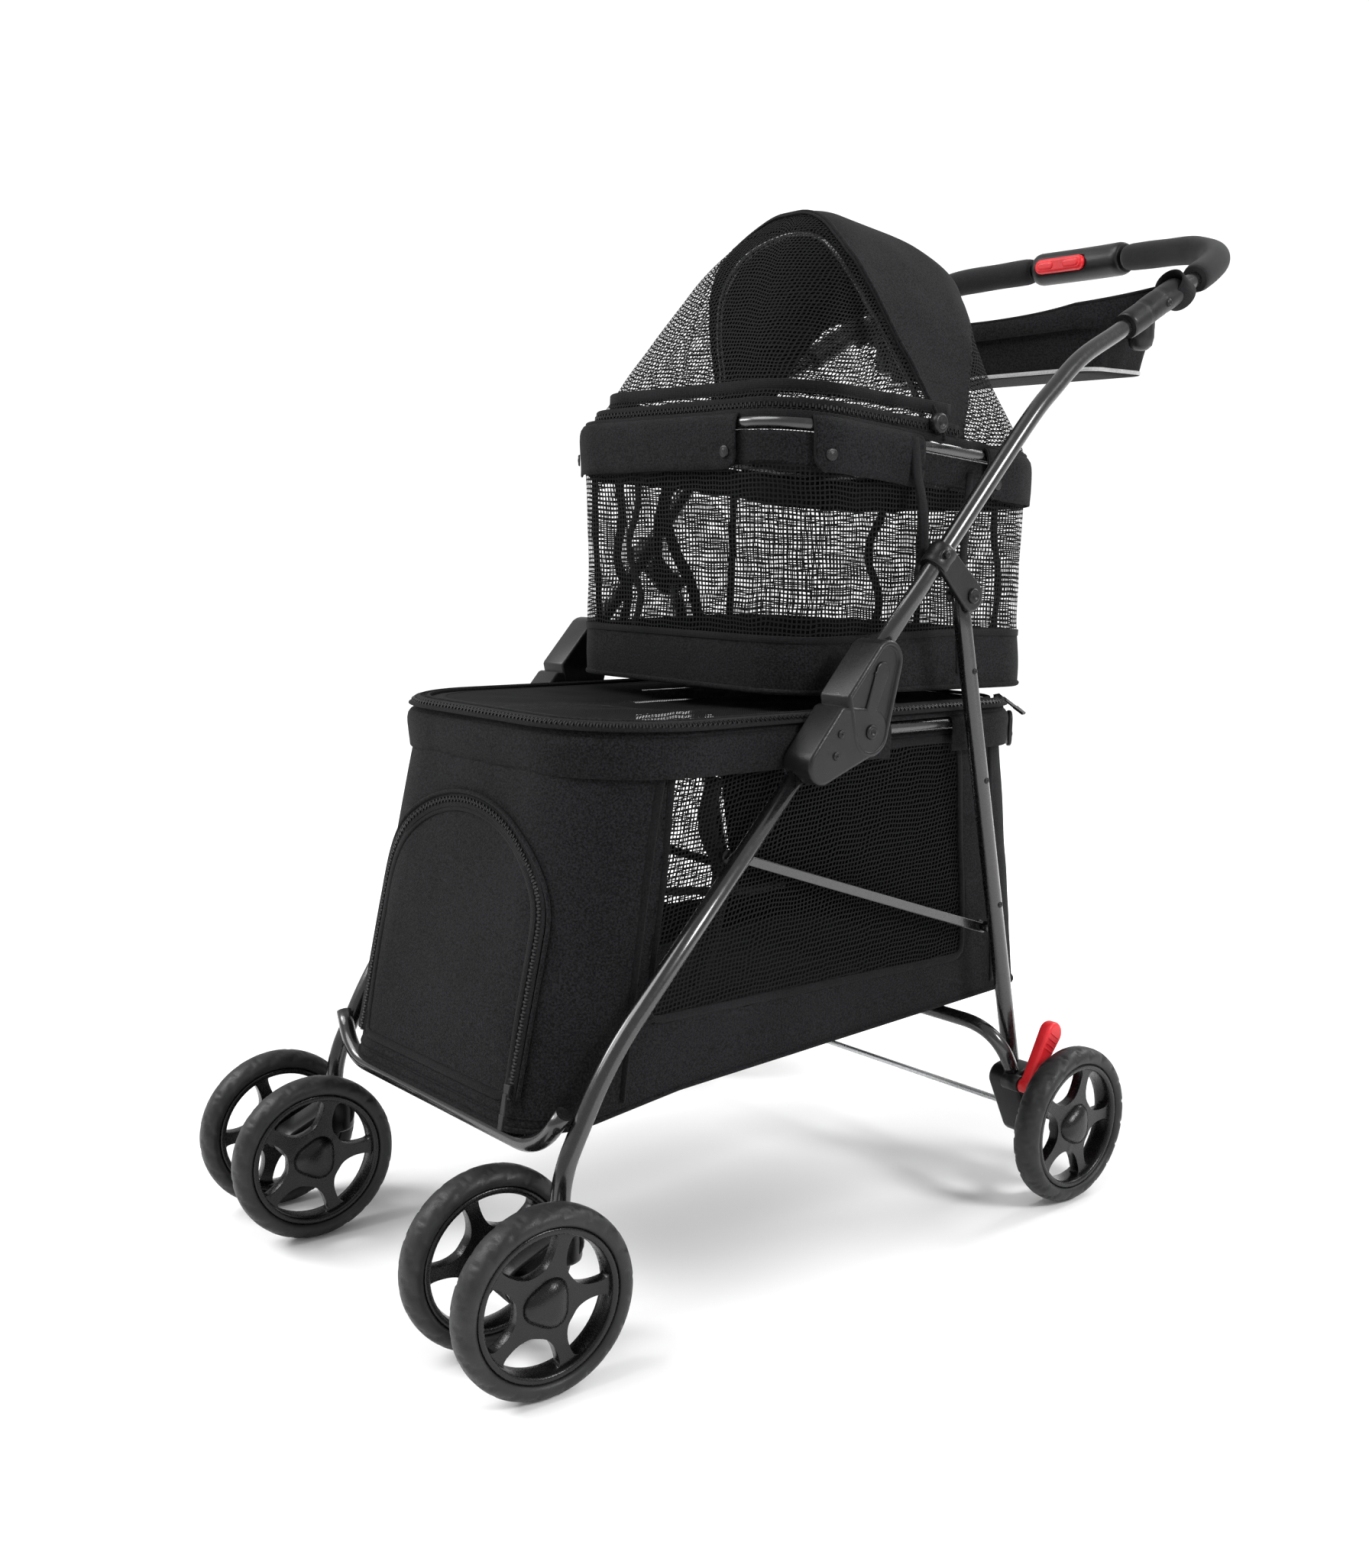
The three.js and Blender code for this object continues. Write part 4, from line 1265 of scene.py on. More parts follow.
def at_wall(levels, side, y, z, push=None, out=0.0):
    """The point of a side wall at (y, z)."""
    t = 0.5
    for _ in range(30):
        o = level_between(levels, t)
        dz = rim_z(level_between(levels, min(t + 0.02, 1)), y) - rim_z(
            level_between(levels, t - 0.02 if t >= 0.02 else 0), y
        )
        t = min(max(t + (z - rim_z(o, y)) / max(dz, 1e-3) * 0.04, 0.0), 1.0)
    o = level_between(levels, t)
    span = [o["f"] + o["rf"], o["b"] - o["rb"]]
    part = min(max((y - span[0]) / (span[1] - span[0]), 0.0), 1.0)
    u = part if side > 0 else 5 - part
    if y > span[1]:
        a = math.asin(min((y - span[1]) / o["rb"], 1.0)) / (math.pi / 2)
        u = 1 + a if side > 0 else 4 - a
    if y < span[0]:
        a = math.asin(min((span[0] - y) / o["rf"], 1.0)) / (math.pi / 2)
        u = 8 - a if side > 0 else 5 + a
    p, n = on_outline(o, u)
    if push is not None:
        p = p + n * push(p, n, t, u)
    return p + n * out


def wall_line(levels, side, push, points, out=0.0):
    """Points (y, z) laid on a side wall."""
    return [at_wall(levels, side, y, z, push, out) for y, z in points]


WALL_TS = list(np.linspace(0, 1, 56))
AROUND = split_at_back(WALL_U)
BASKET = [BASKET_LOW, BASKET_TOP]
CARRIER = [CARRIER_LOW, CARRIER_TOP]


def open_shell(levels, us, ts, push=None):
    """A surface through levels, split at the back, with threads measured from the front's middle."""
    rows = []
    for t in ts:
        o = level_between(levels, t)
        row = []
        for u in us:
            p, n = on_outline(o, u)
            if push is not None:
                p = p + n * push(p, n, t, u)
            row.append(p)
        rows.append(row)
    rows = np.array(rows)
    run_u = np.zeros(rows.shape[:2])
    run_u[:, 1:] = np.cumsum(np.linalg.norm(np.diff(rows, axis=1), axis=2), axis=1)
    front = min(range(len(us)), key=lambda j: abs(us[j] - 6.5))
    run_u -= run_u[:, front : front + 1]
    run_v = np.zeros(rows.shape[:2])
    run_v[1:] = np.cumsum(np.linalg.norm(np.diff(rows, axis=0), axis=2), axis=0)
    flat = np.concatenate([rows, run_u[..., None], run_v[..., None]], axis=2).reshape(-1, 5)
    return list(flat), grid(len(ts), len(us))


def cloth(name, verts, faces, body, material, replaces=(), mm=1.1, offset=-1.0):
    """A panel cut from cloth; the rectangle it is cut from is worked out but not used."""
    v = np.array(verts)
    obj = make(name, v, faces, body, material, replaces, uvs=v[:, 3:5])
    area = sum(face.area for face in obj.data.polygons)
    w = max(np.ptp(v[:, 3]) * MM, 0.01)
    h = max(np.ptp(v[:, 4]) * MM, 0.01)
    if area > w * h:
        h = area / w
    if area < 0.31 * w * h:
        h = area / (0.4 * w)
    if mm:
        thick(obj, mm, offset)
    return obj


def flat_out(centre_y, squash_y=0.62):
    """Outward direction for lines on a bag's walls."""

    def outward(q):
        x, y = q[0], (q[1] - centre_y) * squash_y
        m = max(abs(x), abs(y))
        k = 6
        n = np.array([math.copysign(abs(x / m) ** k, x), math.copysign(abs(y / m) ** k, y), 0.0])
        return unit(n)

    return outward


def trim(
    name, points, body, width=8.0, depth=1.8, lift=0.4, centre_y=0.0, material=None, closed=False,
    outward=None
):
    """Binding tape lying along a line on a bag's wall."""
    outward = outward or flat_out(centre_y)
    p = even(np.array(points)[:, :3], 6.0)
    if closed:
        p = p[:-1]
    normals = [outward(q) for q in p]
    p = np.array([q + n * lift for q, n in zip(p, normals)])
    return strap(name, p, width, depth, normals, body, material, closed)


BOX_FACES = ((0, 3, 2, 1), (4, 5, 6, 7), (0, 1, 5, 4), (1, 2, 6, 5), (2, 3, 7, 6), (3, 0, 4, 7))


def strap(name, path, width, depth, normals, body, material=None, closed=False):
    """A flat strap along a path, facing along the normals."""
    verts, faces, uvs = sweep(path, ribbon(width, depth), closed, normals)
    return make(name, verts, faces, body, material or TAPE, uvs=uvs)


def zipper(name, points, body, outward, lift=0.8, width=14.0, closed=False):
    """A zip: a tape with a row of teeth along its middle."""
    p = even(np.array(points)[:, :3], 5.0)
    if closed:
        p = p[:-1]
    normals = [outward(q) for q in p]
    p = np.array([q + n * lift for q, n in zip(p, normals)])
    strap(f"{name}_tape", p, width, 1.2, normals, body, closed=closed)
    q = even(p, 2.6)
    normals = [outward(a) for a in q]
    boxes, sides = [], []
    for i, (t, n, b) in enumerate(frames(q, False, normals)):
        shift = 0.7 if i % 2 else -0.7
        centre = q[i] + n * 1.1 + b * shift
        base = len(boxes)
        for st, sn, sb in (
            (-1, -1, -1), (1, -1, -1), (1, -1, 1), (-1, -1, 1), (-1, 1, -1), (1, 1, -1), (1, 1, 1),
            (-1, 1, 1)
        ):
            boxes.append(centre + t * st * 0.8 + n * sn * 0.8 + b * sb * (2.1 if sn < 0 else 1.5))
        sides += [tuple(base + k for k in f) for f in BOX_FACES]
    make(f"{name}_teeth", boxes, sides, body, PLASTIC, smooth=False)


def lid(o, body, name, material, sag, rows=9, replaces=(), lift=0.0, mm=1.1, us=None):
    """A panel filling an outline; sag(k, q) is its drop at point q, with k from 1 at the rim to 0 inside."""
    us = us or WALL_U[::2]
    cy = (o["f"] + o["b"]) / 2
    verts = []
    ks = np.linspace(1, 0.04, rows)
    for k in ks:
        for u in us:
            p, _ = on_outline(o, u)
            q = np.array([p[0] * k, cy + (p[1] - cy) * k, 0])
            q[2] = rim_z(o, q[1]) + lift - sag(k, q)
            verts.append((*q, q[0], q[1]))
    m = len(us)
    faces = grid(rows, m, True)
    faces.append(tuple((rows - 1) * m + j for j in range(m)))
    return cloth(name, verts, faces, body, material, replaces, mm)


def window_level(p):
    """Positive inside the net windows of the lower basket's sides."""
    x, y, z = p[:3]
    if abs(x) < 120:
        return -50.0
    left = -265 - (450 - z) * (24 / 211)
    right = 86 + (426 - z) * (23 / 194)
    low = 243 - (y + 211) * (12 / 304)
    high = rim_z(LOWER_RIM, y) - 15
    return smooth_min([y - left, right - y, z - low, high - z], 5.0)


low, high = span("front_door")
DOOR_GAP = 0.8
DOOR = dict(half=high[0] + DOOR_GAP, low=low[2], spring=low[2] + 135, top=high[2] + DOOR_GAP)


def door_level(p):
    """Positive inside the front door's arch."""
    x, y, z = p[:3]
    if y > -200:
        return -60.0
    if z <= DOOR["spring"]:
        arch = DOOR["half"] - abs(x)
    else:
        rise = DOOR["top"] - DOOR["spring"]
        s = math.hypot(x / DOOR["half"], (z - DOOR["spring"]) / rise)
        arch = (1 - s) * rise
    return float(smooth_min([arch, z - DOOR["low"]], 4.0))


def front_out(q):
    return np.array([0, -0.97, 0.24])


def skirt(p):
    """How far the basket's cloth hangs below its floor: most at the front."""
    return 10.0 * min(max((-p[1] - 250) / 140, 0), 1) * min(max((262 - p[2]) / 85, 0), 1)


def lower_basket():
    verts, faces = open_shell(BASKET, AROUND, WALL_TS, basket_push)
    for v in verts:
        v[2] -= skirt(v)
    window = [window_level(v) for v in verts]
    door = [door_level(v) for v in verts]
    solid = [min(-w, -d) for w, d in zip(window, door)]
    v, f, _ = clip(verts, faces, solid)
    cloth("basket_walls", v, f, "lower_frame", CLOTH, ("lower_basket_shell",), 1.3)
    for hand, side in SIDES:
        v, f, _ = clip(verts, faces, [w + 5 if p[0] * side > 0 else -5 for w, p in zip(window, verts)])
        cloth(f"{hand}_basket_window", v, f, "lower_frame", NET, (), 0.0)
        _, _, loops = clip(verts, faces, [w if p[0] * side > 0 else -5 for w, p in zip(window, verts)])
        trim(f"{hand}_window_binding", loops[0], "lower_frame", 7.5, 1.8, closed=True)
        front = wall_line(
            BASKET, side, basket_push,
            ((-272, 456), (-282, 410), (-293, 348), (-302, 280), (-309, 218), (-312, 184))
        )
        trim(f"{hand}_front_seam", catmull(front, 6), "lower_frame", 9, 2.2)
        rear = wall_line(
            BASKET, side, basket_push, ((127, 444), (131, 436), (142, 334), (153, 232), (157, 196))
        )
        trim(f"{hand}_rear_seam", catmull(rear, 6), "lower_frame", 6, 1.6)
        drop = wall_line(
            BASKET, side, basket_push, ((-215, 440), (-222, 400), (-206, 360), (-214, 310), (-228, 262)),
            -6
        )
        trim(f"{hand}_inner_strap", catmull(drop, 8), "lower_frame", 16, 1.2, 0.0)
        tie = wall_line(BASKET, side, basket_push, ((-276, 352), (-230, 346), (-180, 338), (-130, 336)), -7)
        trim(
            f"{hand}_inner_tie", catmull(tie, 8), "lower_frame", 7, 1.2, 0.0,
            outward=lambda q, s=side: np.array([s, 0, 0])
        )
    v, f, loops = clip(verts, faces, [d - 1.0 for d in door])
    cloth("door_panel", v, f, "front_door", CLOTH, ("front_door",), 1.6)
    line = loops[0]
    binding = even(line[:, :3], 5)
    normals = [front_out(q) for q in binding[:-1]]
    raised = np.array([q + n * 0.5 for q, n in zip(binding[:-1], normals)])
    strap("door_binding", raised, 7, 1.8, normals, "front_door", closed=True)
    arch = []
    for x, z in arch_line(5.5):
        arch.append(front_wall(x, z, 0.6))
    zipper("door_zip", arch, "lower_frame", front_out, 0.8, 13)
    cord = [front_wall(x, z, 2.2) for x, z in arch_line(12.5)]
    tube("door_piping", even(cord, 5), 1.9, "lower_frame", CLOTH, sides=10)
    pull = front_wall(DOOR["half"] + 4, 200, 4.0)
    zip_pull("door_zip_pull", pull, (0, -0.97, 0.24), (0.1, -0.2, -0.97), "lower_frame")

    rings = ring(BASKET_LOW, AROUND[:-1], -1.0, 1.0)
    for q in rings:
        q[2] -= skirt(q)
    tube("basket_base_piping", np.array(rings), 2.3, "lower_frame", CLOTH, closed=True, sides=10)

    def sag(k, q):
        return 3.0 * (1 - k * k) - 1.0 + 0.8 * ripple(q, 90, 2.0)

    lid(inset(BASKET_LOW, 1.5), "lower_frame", "basket_underside", CLOTH, sag, lift=1.0)
    centre = [on_wall_u(BASKET, 2.5, t, basket_push) for t in np.linspace(0.02, 0.97, 24)]
    trim("basket_back_seam", centre, "lower_frame", 8, 1.8, outward=lambda q: np.array([0, 1, 0]))


def arch_line(margin):
    """The arch outside the door by a margin, as (x, z), from the bottom right round to the bottom left."""
    half = DOOR["half"] + margin
    rise = DOOR["top"] + margin - DOOR["spring"]
    out = [(half, z) for z in np.linspace(193, DOOR["spring"], 16)]
    out += [
        (half * math.cos(a), DOOR["spring"] + rise * math.sin(a))
        for a in np.linspace(0, math.pi, 40)[1:-1]
    ]
    out += [(-half, z) for z in np.linspace(DOOR["spring"], 193, 16)]
    return out


def on_wall_u(levels, u, t, push=None, out=0.0):
    o = level_between(levels, t)
    p, n = on_outline(o, u)
    if push is not None:
        p = p + n * push(p, n, t, u)
    return p + n * out


def front_wall(x, z, out=0.0):
    """The point of the basket's front wall at (x, z)."""
    t = (z - BASKET_LOW["zf"]) / (BASKET_TOP["zf"] - BASKET_LOW["zf"])
    o = level_between(BASKET, min(max(t, 0), 1))
    flat = o["w"] - o["rf"]
    if abs(x) <= flat:
        u = 6.5 + 0.5 * x / flat
    else:
        a = math.asin(min((abs(x) - flat) / o["rf"], 1.0)) / (math.pi / 2)
        u = 7 + a if x > 0 else 6 - a
    p, n = on_outline(o, u)
    return p + n * (basket_push(p, n, t, u) + out)


def zip_pull(name, at, outward, down, body):
    """A slider with a hanging tab."""
    n = unit(np.array(outward, float))
    d = unit(np.array(down, float) - n * (np.array(down) @ n))
    b = np.cross(n, d)
    at = np.array(at, float)
    verts, faces = [], []

    def block(points):
        base = len(verts)
        verts.extend(points)
        for f in BOX_FACES:
            faces.append(tuple(base + k for k in f))

    def corners(c, hb, hn, hd, taper=0.7):
        return [
            c - b * hb - n * hn - d * hd, c + b * hb - n * hn - d * hd,
            c + b * hb * taper - n * hn + d * hd, c - b * hb * taper - n * hn + d * hd,
            c - b * hb + n * hn - d * hd, c + b * hb + n * hn - d * hd,
            c + b * hb * taper + n * hn + d * hd, c - b * hb * taper + n * hn + d * hd,
        ]

    block(corners(at, 4.2, 1.8, 5.0))
    block(corners(at + n * 2.4 + d * 12, 2.4, 0.8, 9.5, 1.3))
    block(corners(at + n * 2.6 + d * 25, 3.4, 1.2, 6.0, 0.8))
    obj = make(name, verts, faces, body, PLASTIC, smooth=False)
    modify(obj, "BEVEL", width=0.5 * MM, segments=2)
    return obj


def band(name, o, us, profile, body, material, keep=None, mm=1.4):
    """A strip of cloth wrapped round a rim; keep(p, n, row) is positive where there is cloth."""
    rows = []
    run = 0.0
    for j, (out, up) in enumerate(profile):
        if j:
            run += math.hypot(out - profile[j - 1][0], up - profile[j - 1][1])
        row = []
        for u in us:
            p, n = on_outline(o, u)
            w = 0.7 * ripple(p, 45, 4.4) * min(j / 3, 1.0) + 0.25 * ripple(p, 14, 9.1)
            q = p + n * (out + w) + np.array([0, 0, up])
            row.append((*q, 0.0, run))
        rows.append(row)
    rows = np.array(rows)
    gaps = np.linalg.norm(np.diff(rows[len(rows) // 2][:, :3], axis=0), axis=1)
    rows[:, 1:, 3] = np.cumsum(gaps)
    verts = list(rows.reshape(-1, 5))
    faces = grid(len(profile), len(us))
    if keep is not None:
        verts, faces, _ = clip(verts, faces, [keep(v) for v in verts])
    return cloth(name, verts, faces, body, material, (), mm, 0.0)


LOWER_BAND = [
    (-7, 0), (-6.4, 3.4), (-4.6, 6.3), (-1.8, 7.8), (1.4, 7.8), (4.6, 6.3), (6.8, 3.2), (7.6, -0.4),
    (7.6, -5), (7.1, -10), (6.7, -15), (6.2, -20), (5.7, -25.5)
]
UPPER_BAND = [
    (-7, -1), (-6.8, 3), (-5, 6.6), (-2, 8.4), (1.6, 8.4), (5, 6.8), (7.4, 3.2), (8.4, -1), (8.6, -6),
    (8.3, -12), (7.8, -19), (7.2, -26), (6.8, -32), (6.6, -38)
]


def lower_rim():
    tube(
        "lower_rim_hoop", ring(LOWER_RIM, AROUND[:-1]), HOOP_R, "lower_frame", BLACK, ("lower_rim_tube",),
        closed=True, sides=18
    )

    def keep(v):
        gap = 42 - abs(v[1] - 20)
        return -gap if abs(v[0]) > 150 else 30.0

    band("lower_rim_band", LOWER_RIM, AROUND, LOWER_BAND, "lower_frame", CLOTH, keep)
    for hand, side in SIDES:
        p, n = on_outline(LOWER_RIM, 1.55 if side > 0 else 3.45)
        up = np.array([0, 0, 1.0])
        b = np.cross(up, n)
        place = lambda v, p=p, n=n, b=b: p + n * (v[0] + 4.0) + b * v[1] + up_z(v[2] - 4)
        slab(
            f"{hand}_rear_clip", [(0, 0, 9), (0, -18, 8)], rounded(4.2, 8.4, 1.4), "lower_frame", PLASTIC,
            (), place, 48
        )
        screw(f"{hand}_rear_clip_screw", p + n * 12.2 + up_z(-18), n, 3.4, "lower_frame")

    top = [
        inset(LOWER_RIM, -4, 6.6), inset(LOWER_RIM, -2.5, 11), inset(LOWER_RIM, 2, 14.5),
        inset(LOWER_RIM, 12, 16.5), inset(LOWER_RIM, 26, 17.5)
    ]

    def cover_push(p, n, t, u):
        return 1.3 * ripple(p, 60, 1.7) + 0.5 * ripple(p, 21, 3.9)

    verts, faces = open_shell(top, AROUND, list(np.linspace(0, 1, 12)), cover_push)
    cloth("cover_edge", verts, faces, "lower_frame", CLOTH, ("lower_top_cover",), 1.2)

    def sag(k, q):
        near = 1 - k
        free = min(near * 4, 1) * (0.4 + 0.6 * min(max((-q[1] - 120) / 50, 0), 1))
        return 6.5 * near - free * (
            4.2 * ripple(q, 110, 4.0) + 2.0 * ripple(q, 44, 2.2) + 0.8 * ripple(q, 19, 6.6)
        )

    lid(inset(LOWER_RIM, 24), "lower_frame", "cover_net", DENSE, sag, 16, (), 17.4, 0.0, us=WALL_U)
    outward = flat_out(-80)

    def zip_out(q):
        return unit(outward(q) * 0.55 + np.array([0, 0, 0.85]))

    us = [u for u in AROUND if 3.3 < u < 9.7]
    zipper("cover_zip", ring(LOWER_RIM, us, 1.0, 15.0), "lower_frame", zip_out, 1.2, 13)
    tube(
        "cover_piping", ring(LOWER_RIM, AROUND[:-1], -11, 18.2), 1.8, "lower_frame", CLOTH, closed=True,
        sides=10
    )
    at = ring(LOWER_RIM, [9.66], 3.5, 16)[0]
    zip_pull("cover_zip_pull", at, (0.5, 0, 0.85), (1, 0.1, -0.6), "lower_frame")


def up_z(h):
    return np.array([0, 0, h])


# ---------------------------------------------------------------- upper carrier


def carrier_body():
    tube(
        "upper_rim_hoop", ring(UPPER_RIM, AROUND[:-1]), HOOP_R, "carrier", BLACK, ("carrier_frame",),
        closed=True, sides=20
    )
    verts, faces = open_shell(CARRIER, AROUND, WALL_TS, carrier_push)

    def edge(p):
        return 49 + 3.0 * math.sin(p[1] / 70) - (p[2] - rim_z(CARRIER_LOW, p[1]))

    base = [edge(v) for v in verts]
    v, f, _ = clip(verts, faces, base)
    cloth("carrier_base_band", v, f, "carrier", CLOTH, (), 1.5)
    upper = [p[2] - rim_z(UPPER_RIM, p[1]) + 36 for p in verts]
    v, f, _ = clip(verts, faces, [min(-b, -t) + 4 for b, t in zip(base, upper)])
    cloth("carrier_net", v, f, "carrier", NET, ("carrier_shell",), 0.0)
    v, f, _ = clip(verts, faces, upper)
    cloth("carrier_top_band", v, f, "carrier", CLOTH, (), 1.3)
    _, _, loops = clip(verts, faces, base)
    trim("carrier_base_tape", max(loops, key=len), "carrier", 6.5, 1.6, 0.6, 45)
    tube(
        "carrier_base_piping", ring(CARRIER_LOW, AROUND[:-1], -0.6, 1.0), 2.6, "carrier", CLOTH,
        closed=True, sides=10
    )

    def sag(k, q):
        return 4.5 * (1 - k * k) - 1.0 + 0.8 * ripple(q, 80, 6.0)

    lid(inset(CARRIER_LOW, 1.5), "carrier", "carrier_underside", CLOTH, sag, lift=1.0)
    back = [on_wall_u(CARRIER, 2.5, t, carrier_push) for t in np.linspace(0.02, 0.97, 24)]
    trim("carrier_back_seam", back, "carrier", 9, 1.8, outward=lambda q: np.array([0, 1, 0]))

    for hand, side in SIDES:
        post = wall_line(
            CARRIER, side, carrier_push, ((100, 690), (98, 640), (95, 590), (94, 545), (94, 506))
        )
        trim(f"{hand}_carrier_post", catmull(post, 6), "carrier", 10, 1.8, 0.4, 45)
        tapes = [
            [(-62, 690), (-58, 650), (-66, 610), (-52, 572), (-58, 545)],
            [(8, 690), (-2, 655), (12, 615), (34, 580), (44, 545)],
            [(-98, 690), (-104, 640), (-98, 590), (-92, 545)],
            [(150, 690), (146, 640), (156, 590), (150, 540)],
        ]
        for i, line in enumerate(tapes):
            if (side > 0) != (i == 3):
                continue
            path = wall_line(CARRIER, side, carrier_push, line, -5.0)
            trim(f"{hand}_inner_tape_{i}", catmull(path, 8), "carrier", (11, 14, 8, 9)[i], 1.2, 0.0, 45)
    tape_x = -60
    stations = list(enumerate(np.linspace(0.22, 0.93, 7)))
    path = []
    for k, t in stations:
        u = 6.5 + 0.5 * (tape_x + 9 * math.sin(k * 1.7)) / 110
        path.append(on_wall_u(CARRIER, u, t, carrier_push, -5.0))
    line = catmull(path, 6)
    trim("front_inner_tape_0", line, "carrier", 9, 1.2, 0.0, outward=lambda q: np.array([0, -1, 0]))
    path = []
    for k, t in stations:
        u = 2.5 - 0.5 * (tape_x + 11 * math.sin(k * 1.4)) / 110
        path.append(on_wall_u(CARRIER, u, t, carrier_push, -5.0))
    line = catmull(path, 6)
    trim("rear_inner_tape_0", line, "carrier", 11, 1.2, 0.0, outward=lambda q: np.array([0, 1, 0]))

    for hand, side in SIDES:
        arm = catmull(
            sided(
                side,
                [
                    (165.5, 18, 720), (168.5, 17.5, 703), (171.5, 16.5, 686), (178, 15, 668),
                    (183.0, 13, 648), (184.5, 12.3, 622), (184.5, 12, 596)
                ]
            ),
            6
        )
        strap(f"{hand}_support_arm", arm, 11, 3.6, [np.array([side, 0, 0.1])] * len(arm), "carrier")
        slab(
            f"{hand}_arm_hook", [(12, 602, 9.5), (12, 590, 9.0)], rounded(181.6, 188.6, 1.8), "carrier",
            PLASTIC, (), mirror_x(side), 48
        )
        screw(f"{hand}_arm_screw", (side * 188.4, 12, 601), (side, 0, 0), 3.2, "carrier")


FLAP_CORNER = 13.0  # a flap's corner radius, and how far its snap is from its end


def rim_run(us):
    """Distance round the upper rim at each u, from the start of us."""
    pts = ring(UPPER_RIM, us)
    return np.concatenate([[0], np.cumsum(np.linalg.norm(np.diff(pts, axis=0), axis=1))])


def carrier_flaps():
    """Five flaps wrapped over the rim tube, with rounded ends and snaps; the tube shows between them."""
    us = split_at_back(stops([60, 30, 30, 30, 60, 34, 60, 34]))
    run = rim_run(us)

    def where(x, y):
        pts = ring(UPPER_RIM, us)
        return run[int(np.argmin(np.hypot(pts[:, 0] - x, pts[:, 1] - y)))]

    full = run[-1]
    spans = {
        "right_rear_flap": (-1, where(-159, 120)),
        "left_rear_flap": (where(159, 120), full + 1),
        "right_side_flap": (where(-159, 33), where(-155, -98)),
        "front_flap": (where(-150, -108), where(95, -124)),
        "left_side_flap": (where(155, -98), where(159, 33)),
    }
    tops = [0.0]
    for a, b in zip(UPPER_BAND, UPPER_BAND[1:]):
        tops.append(tops[-1] + math.hypot(b[0] - a[0], b[1] - a[1]))
    total = tops[-1]
    for name, (start, end) in spans.items():
        rows = []
        for j, (out, up) in enumerate(UPPER_BAND):
            row = []
            for i, u in enumerate(us):
                p, n = on_outline(UPPER_RIM, u)
                hang = max(tops[j] - 26, 0) / 40
                w = 2.2 * ripple(p, 60, 2.9) * hang + 0.9 * ripple(
                    p + up_z(up), 24, 5.0
                ) * hang + 0.35 * ripple(p + up_z(up), 13, 8.0)
                q = p + n * (out + w + 1.2 * hang) + up_z(up + 3.4 * hang * ripple(p, 88, 7.1))
                row.append((*q, run[i], tops[j]))
            rows.append(row)
        verts = [np.array(v) for row in rows for v in row]
        faces = grid(len(UPPER_BAND), len(us))

        def level(v, start=start, end=end):
            across = min(v[3] - start, end - v[3])
            down = total + 0.5 - v[4]
            r = FLAP_CORNER
            if across < r and down < r:
                return r - math.hypot(r - across, r - down)
            return min(across, down)

        v, f, loops = clip(verts, faces, [level(q) for q in verts])
        cloth(name, v, f, "carrier", CLOTH, (), 1.6, 0.0)
        outline = max(loops, key=len)[:, :3]
        tube(f"{name}_edge", even(outline, 4), 1.1, "carrier", TAPE, closed=False, sides=8)
        snaps = []
        if start > 0:
            snaps.append(start + FLAP_CORNER)
        if end < full:
            snaps.append(end - FLAP_CORNER)
        for i, s in enumerate(snaps):
            u = float(np.interp(s, run, us))
            p, n = on_outline(UPPER_RIM, u)
            lathe(
                f"{name}_snap_{i}",
                [(0, -0.5), (5.4, -0.5), (5.6, 0.6), (4.6, 1.5), (3.2, 1.2), (2.2, 1.6), (0, 1.9)],
                p + n * 9.4 + up_z(-24), n, "carrier", PLASTIC, segments=24
            )


# ---------------------------------------------------------------- canopy

FRONT_SEAM = [
    (60, 700), (60, 728), (56, 752), (50, 787), (32, 826), (17, 865), (12, 888), (15, 905), (24, 925),
    (30, 950)
]
REAR_SEAM = [
    (88, 700), (92, 728), (115, 758), (137, 790), (152, 820), (168, 848), (200, 866), (240, 880),
    (600, 900)
]
HINGE = [c * MM for c in PIVOT["canopy_fold"]]
CANOPY_BLEND = ((0, HINGE[1] + 0.010, HINGE[2] - 0.018), (0, HINGE[1] - 0.062, HINGE[2] + 0.078))


def seam_y(table, z):
    zs = [p[1] for p in table]
    ys = [p[0] for p in table]
    return float(np.interp(z, zs, ys))


def canopy_push(p, n, t, u):
    """The net hangs straight from the bow to the rim, the shade swells over the bow."""
    hollow = -5.0 * math.sin(math.pi * min(t * 1.3, 1.0)) if p[1] < 0 else 0.0
    bow = math.exp(-(((p[1] - seam_y(FRONT_SEAM, p[2])) / 14) ** 2)) * 1.2
    back = math.exp(-(((p[1] - seam_y(REAR_SEAM, p[2])) / 12) ** 2)) * 1.6
    wrinkle = 1.5 * ripple(p, 70, 1.1) + 0.6 * ripple(p, 26, 6.3)
    return -1.5 + hollow + bow + back + wrinkle * math.sin(math.pi * min(t + 0.05, 1))


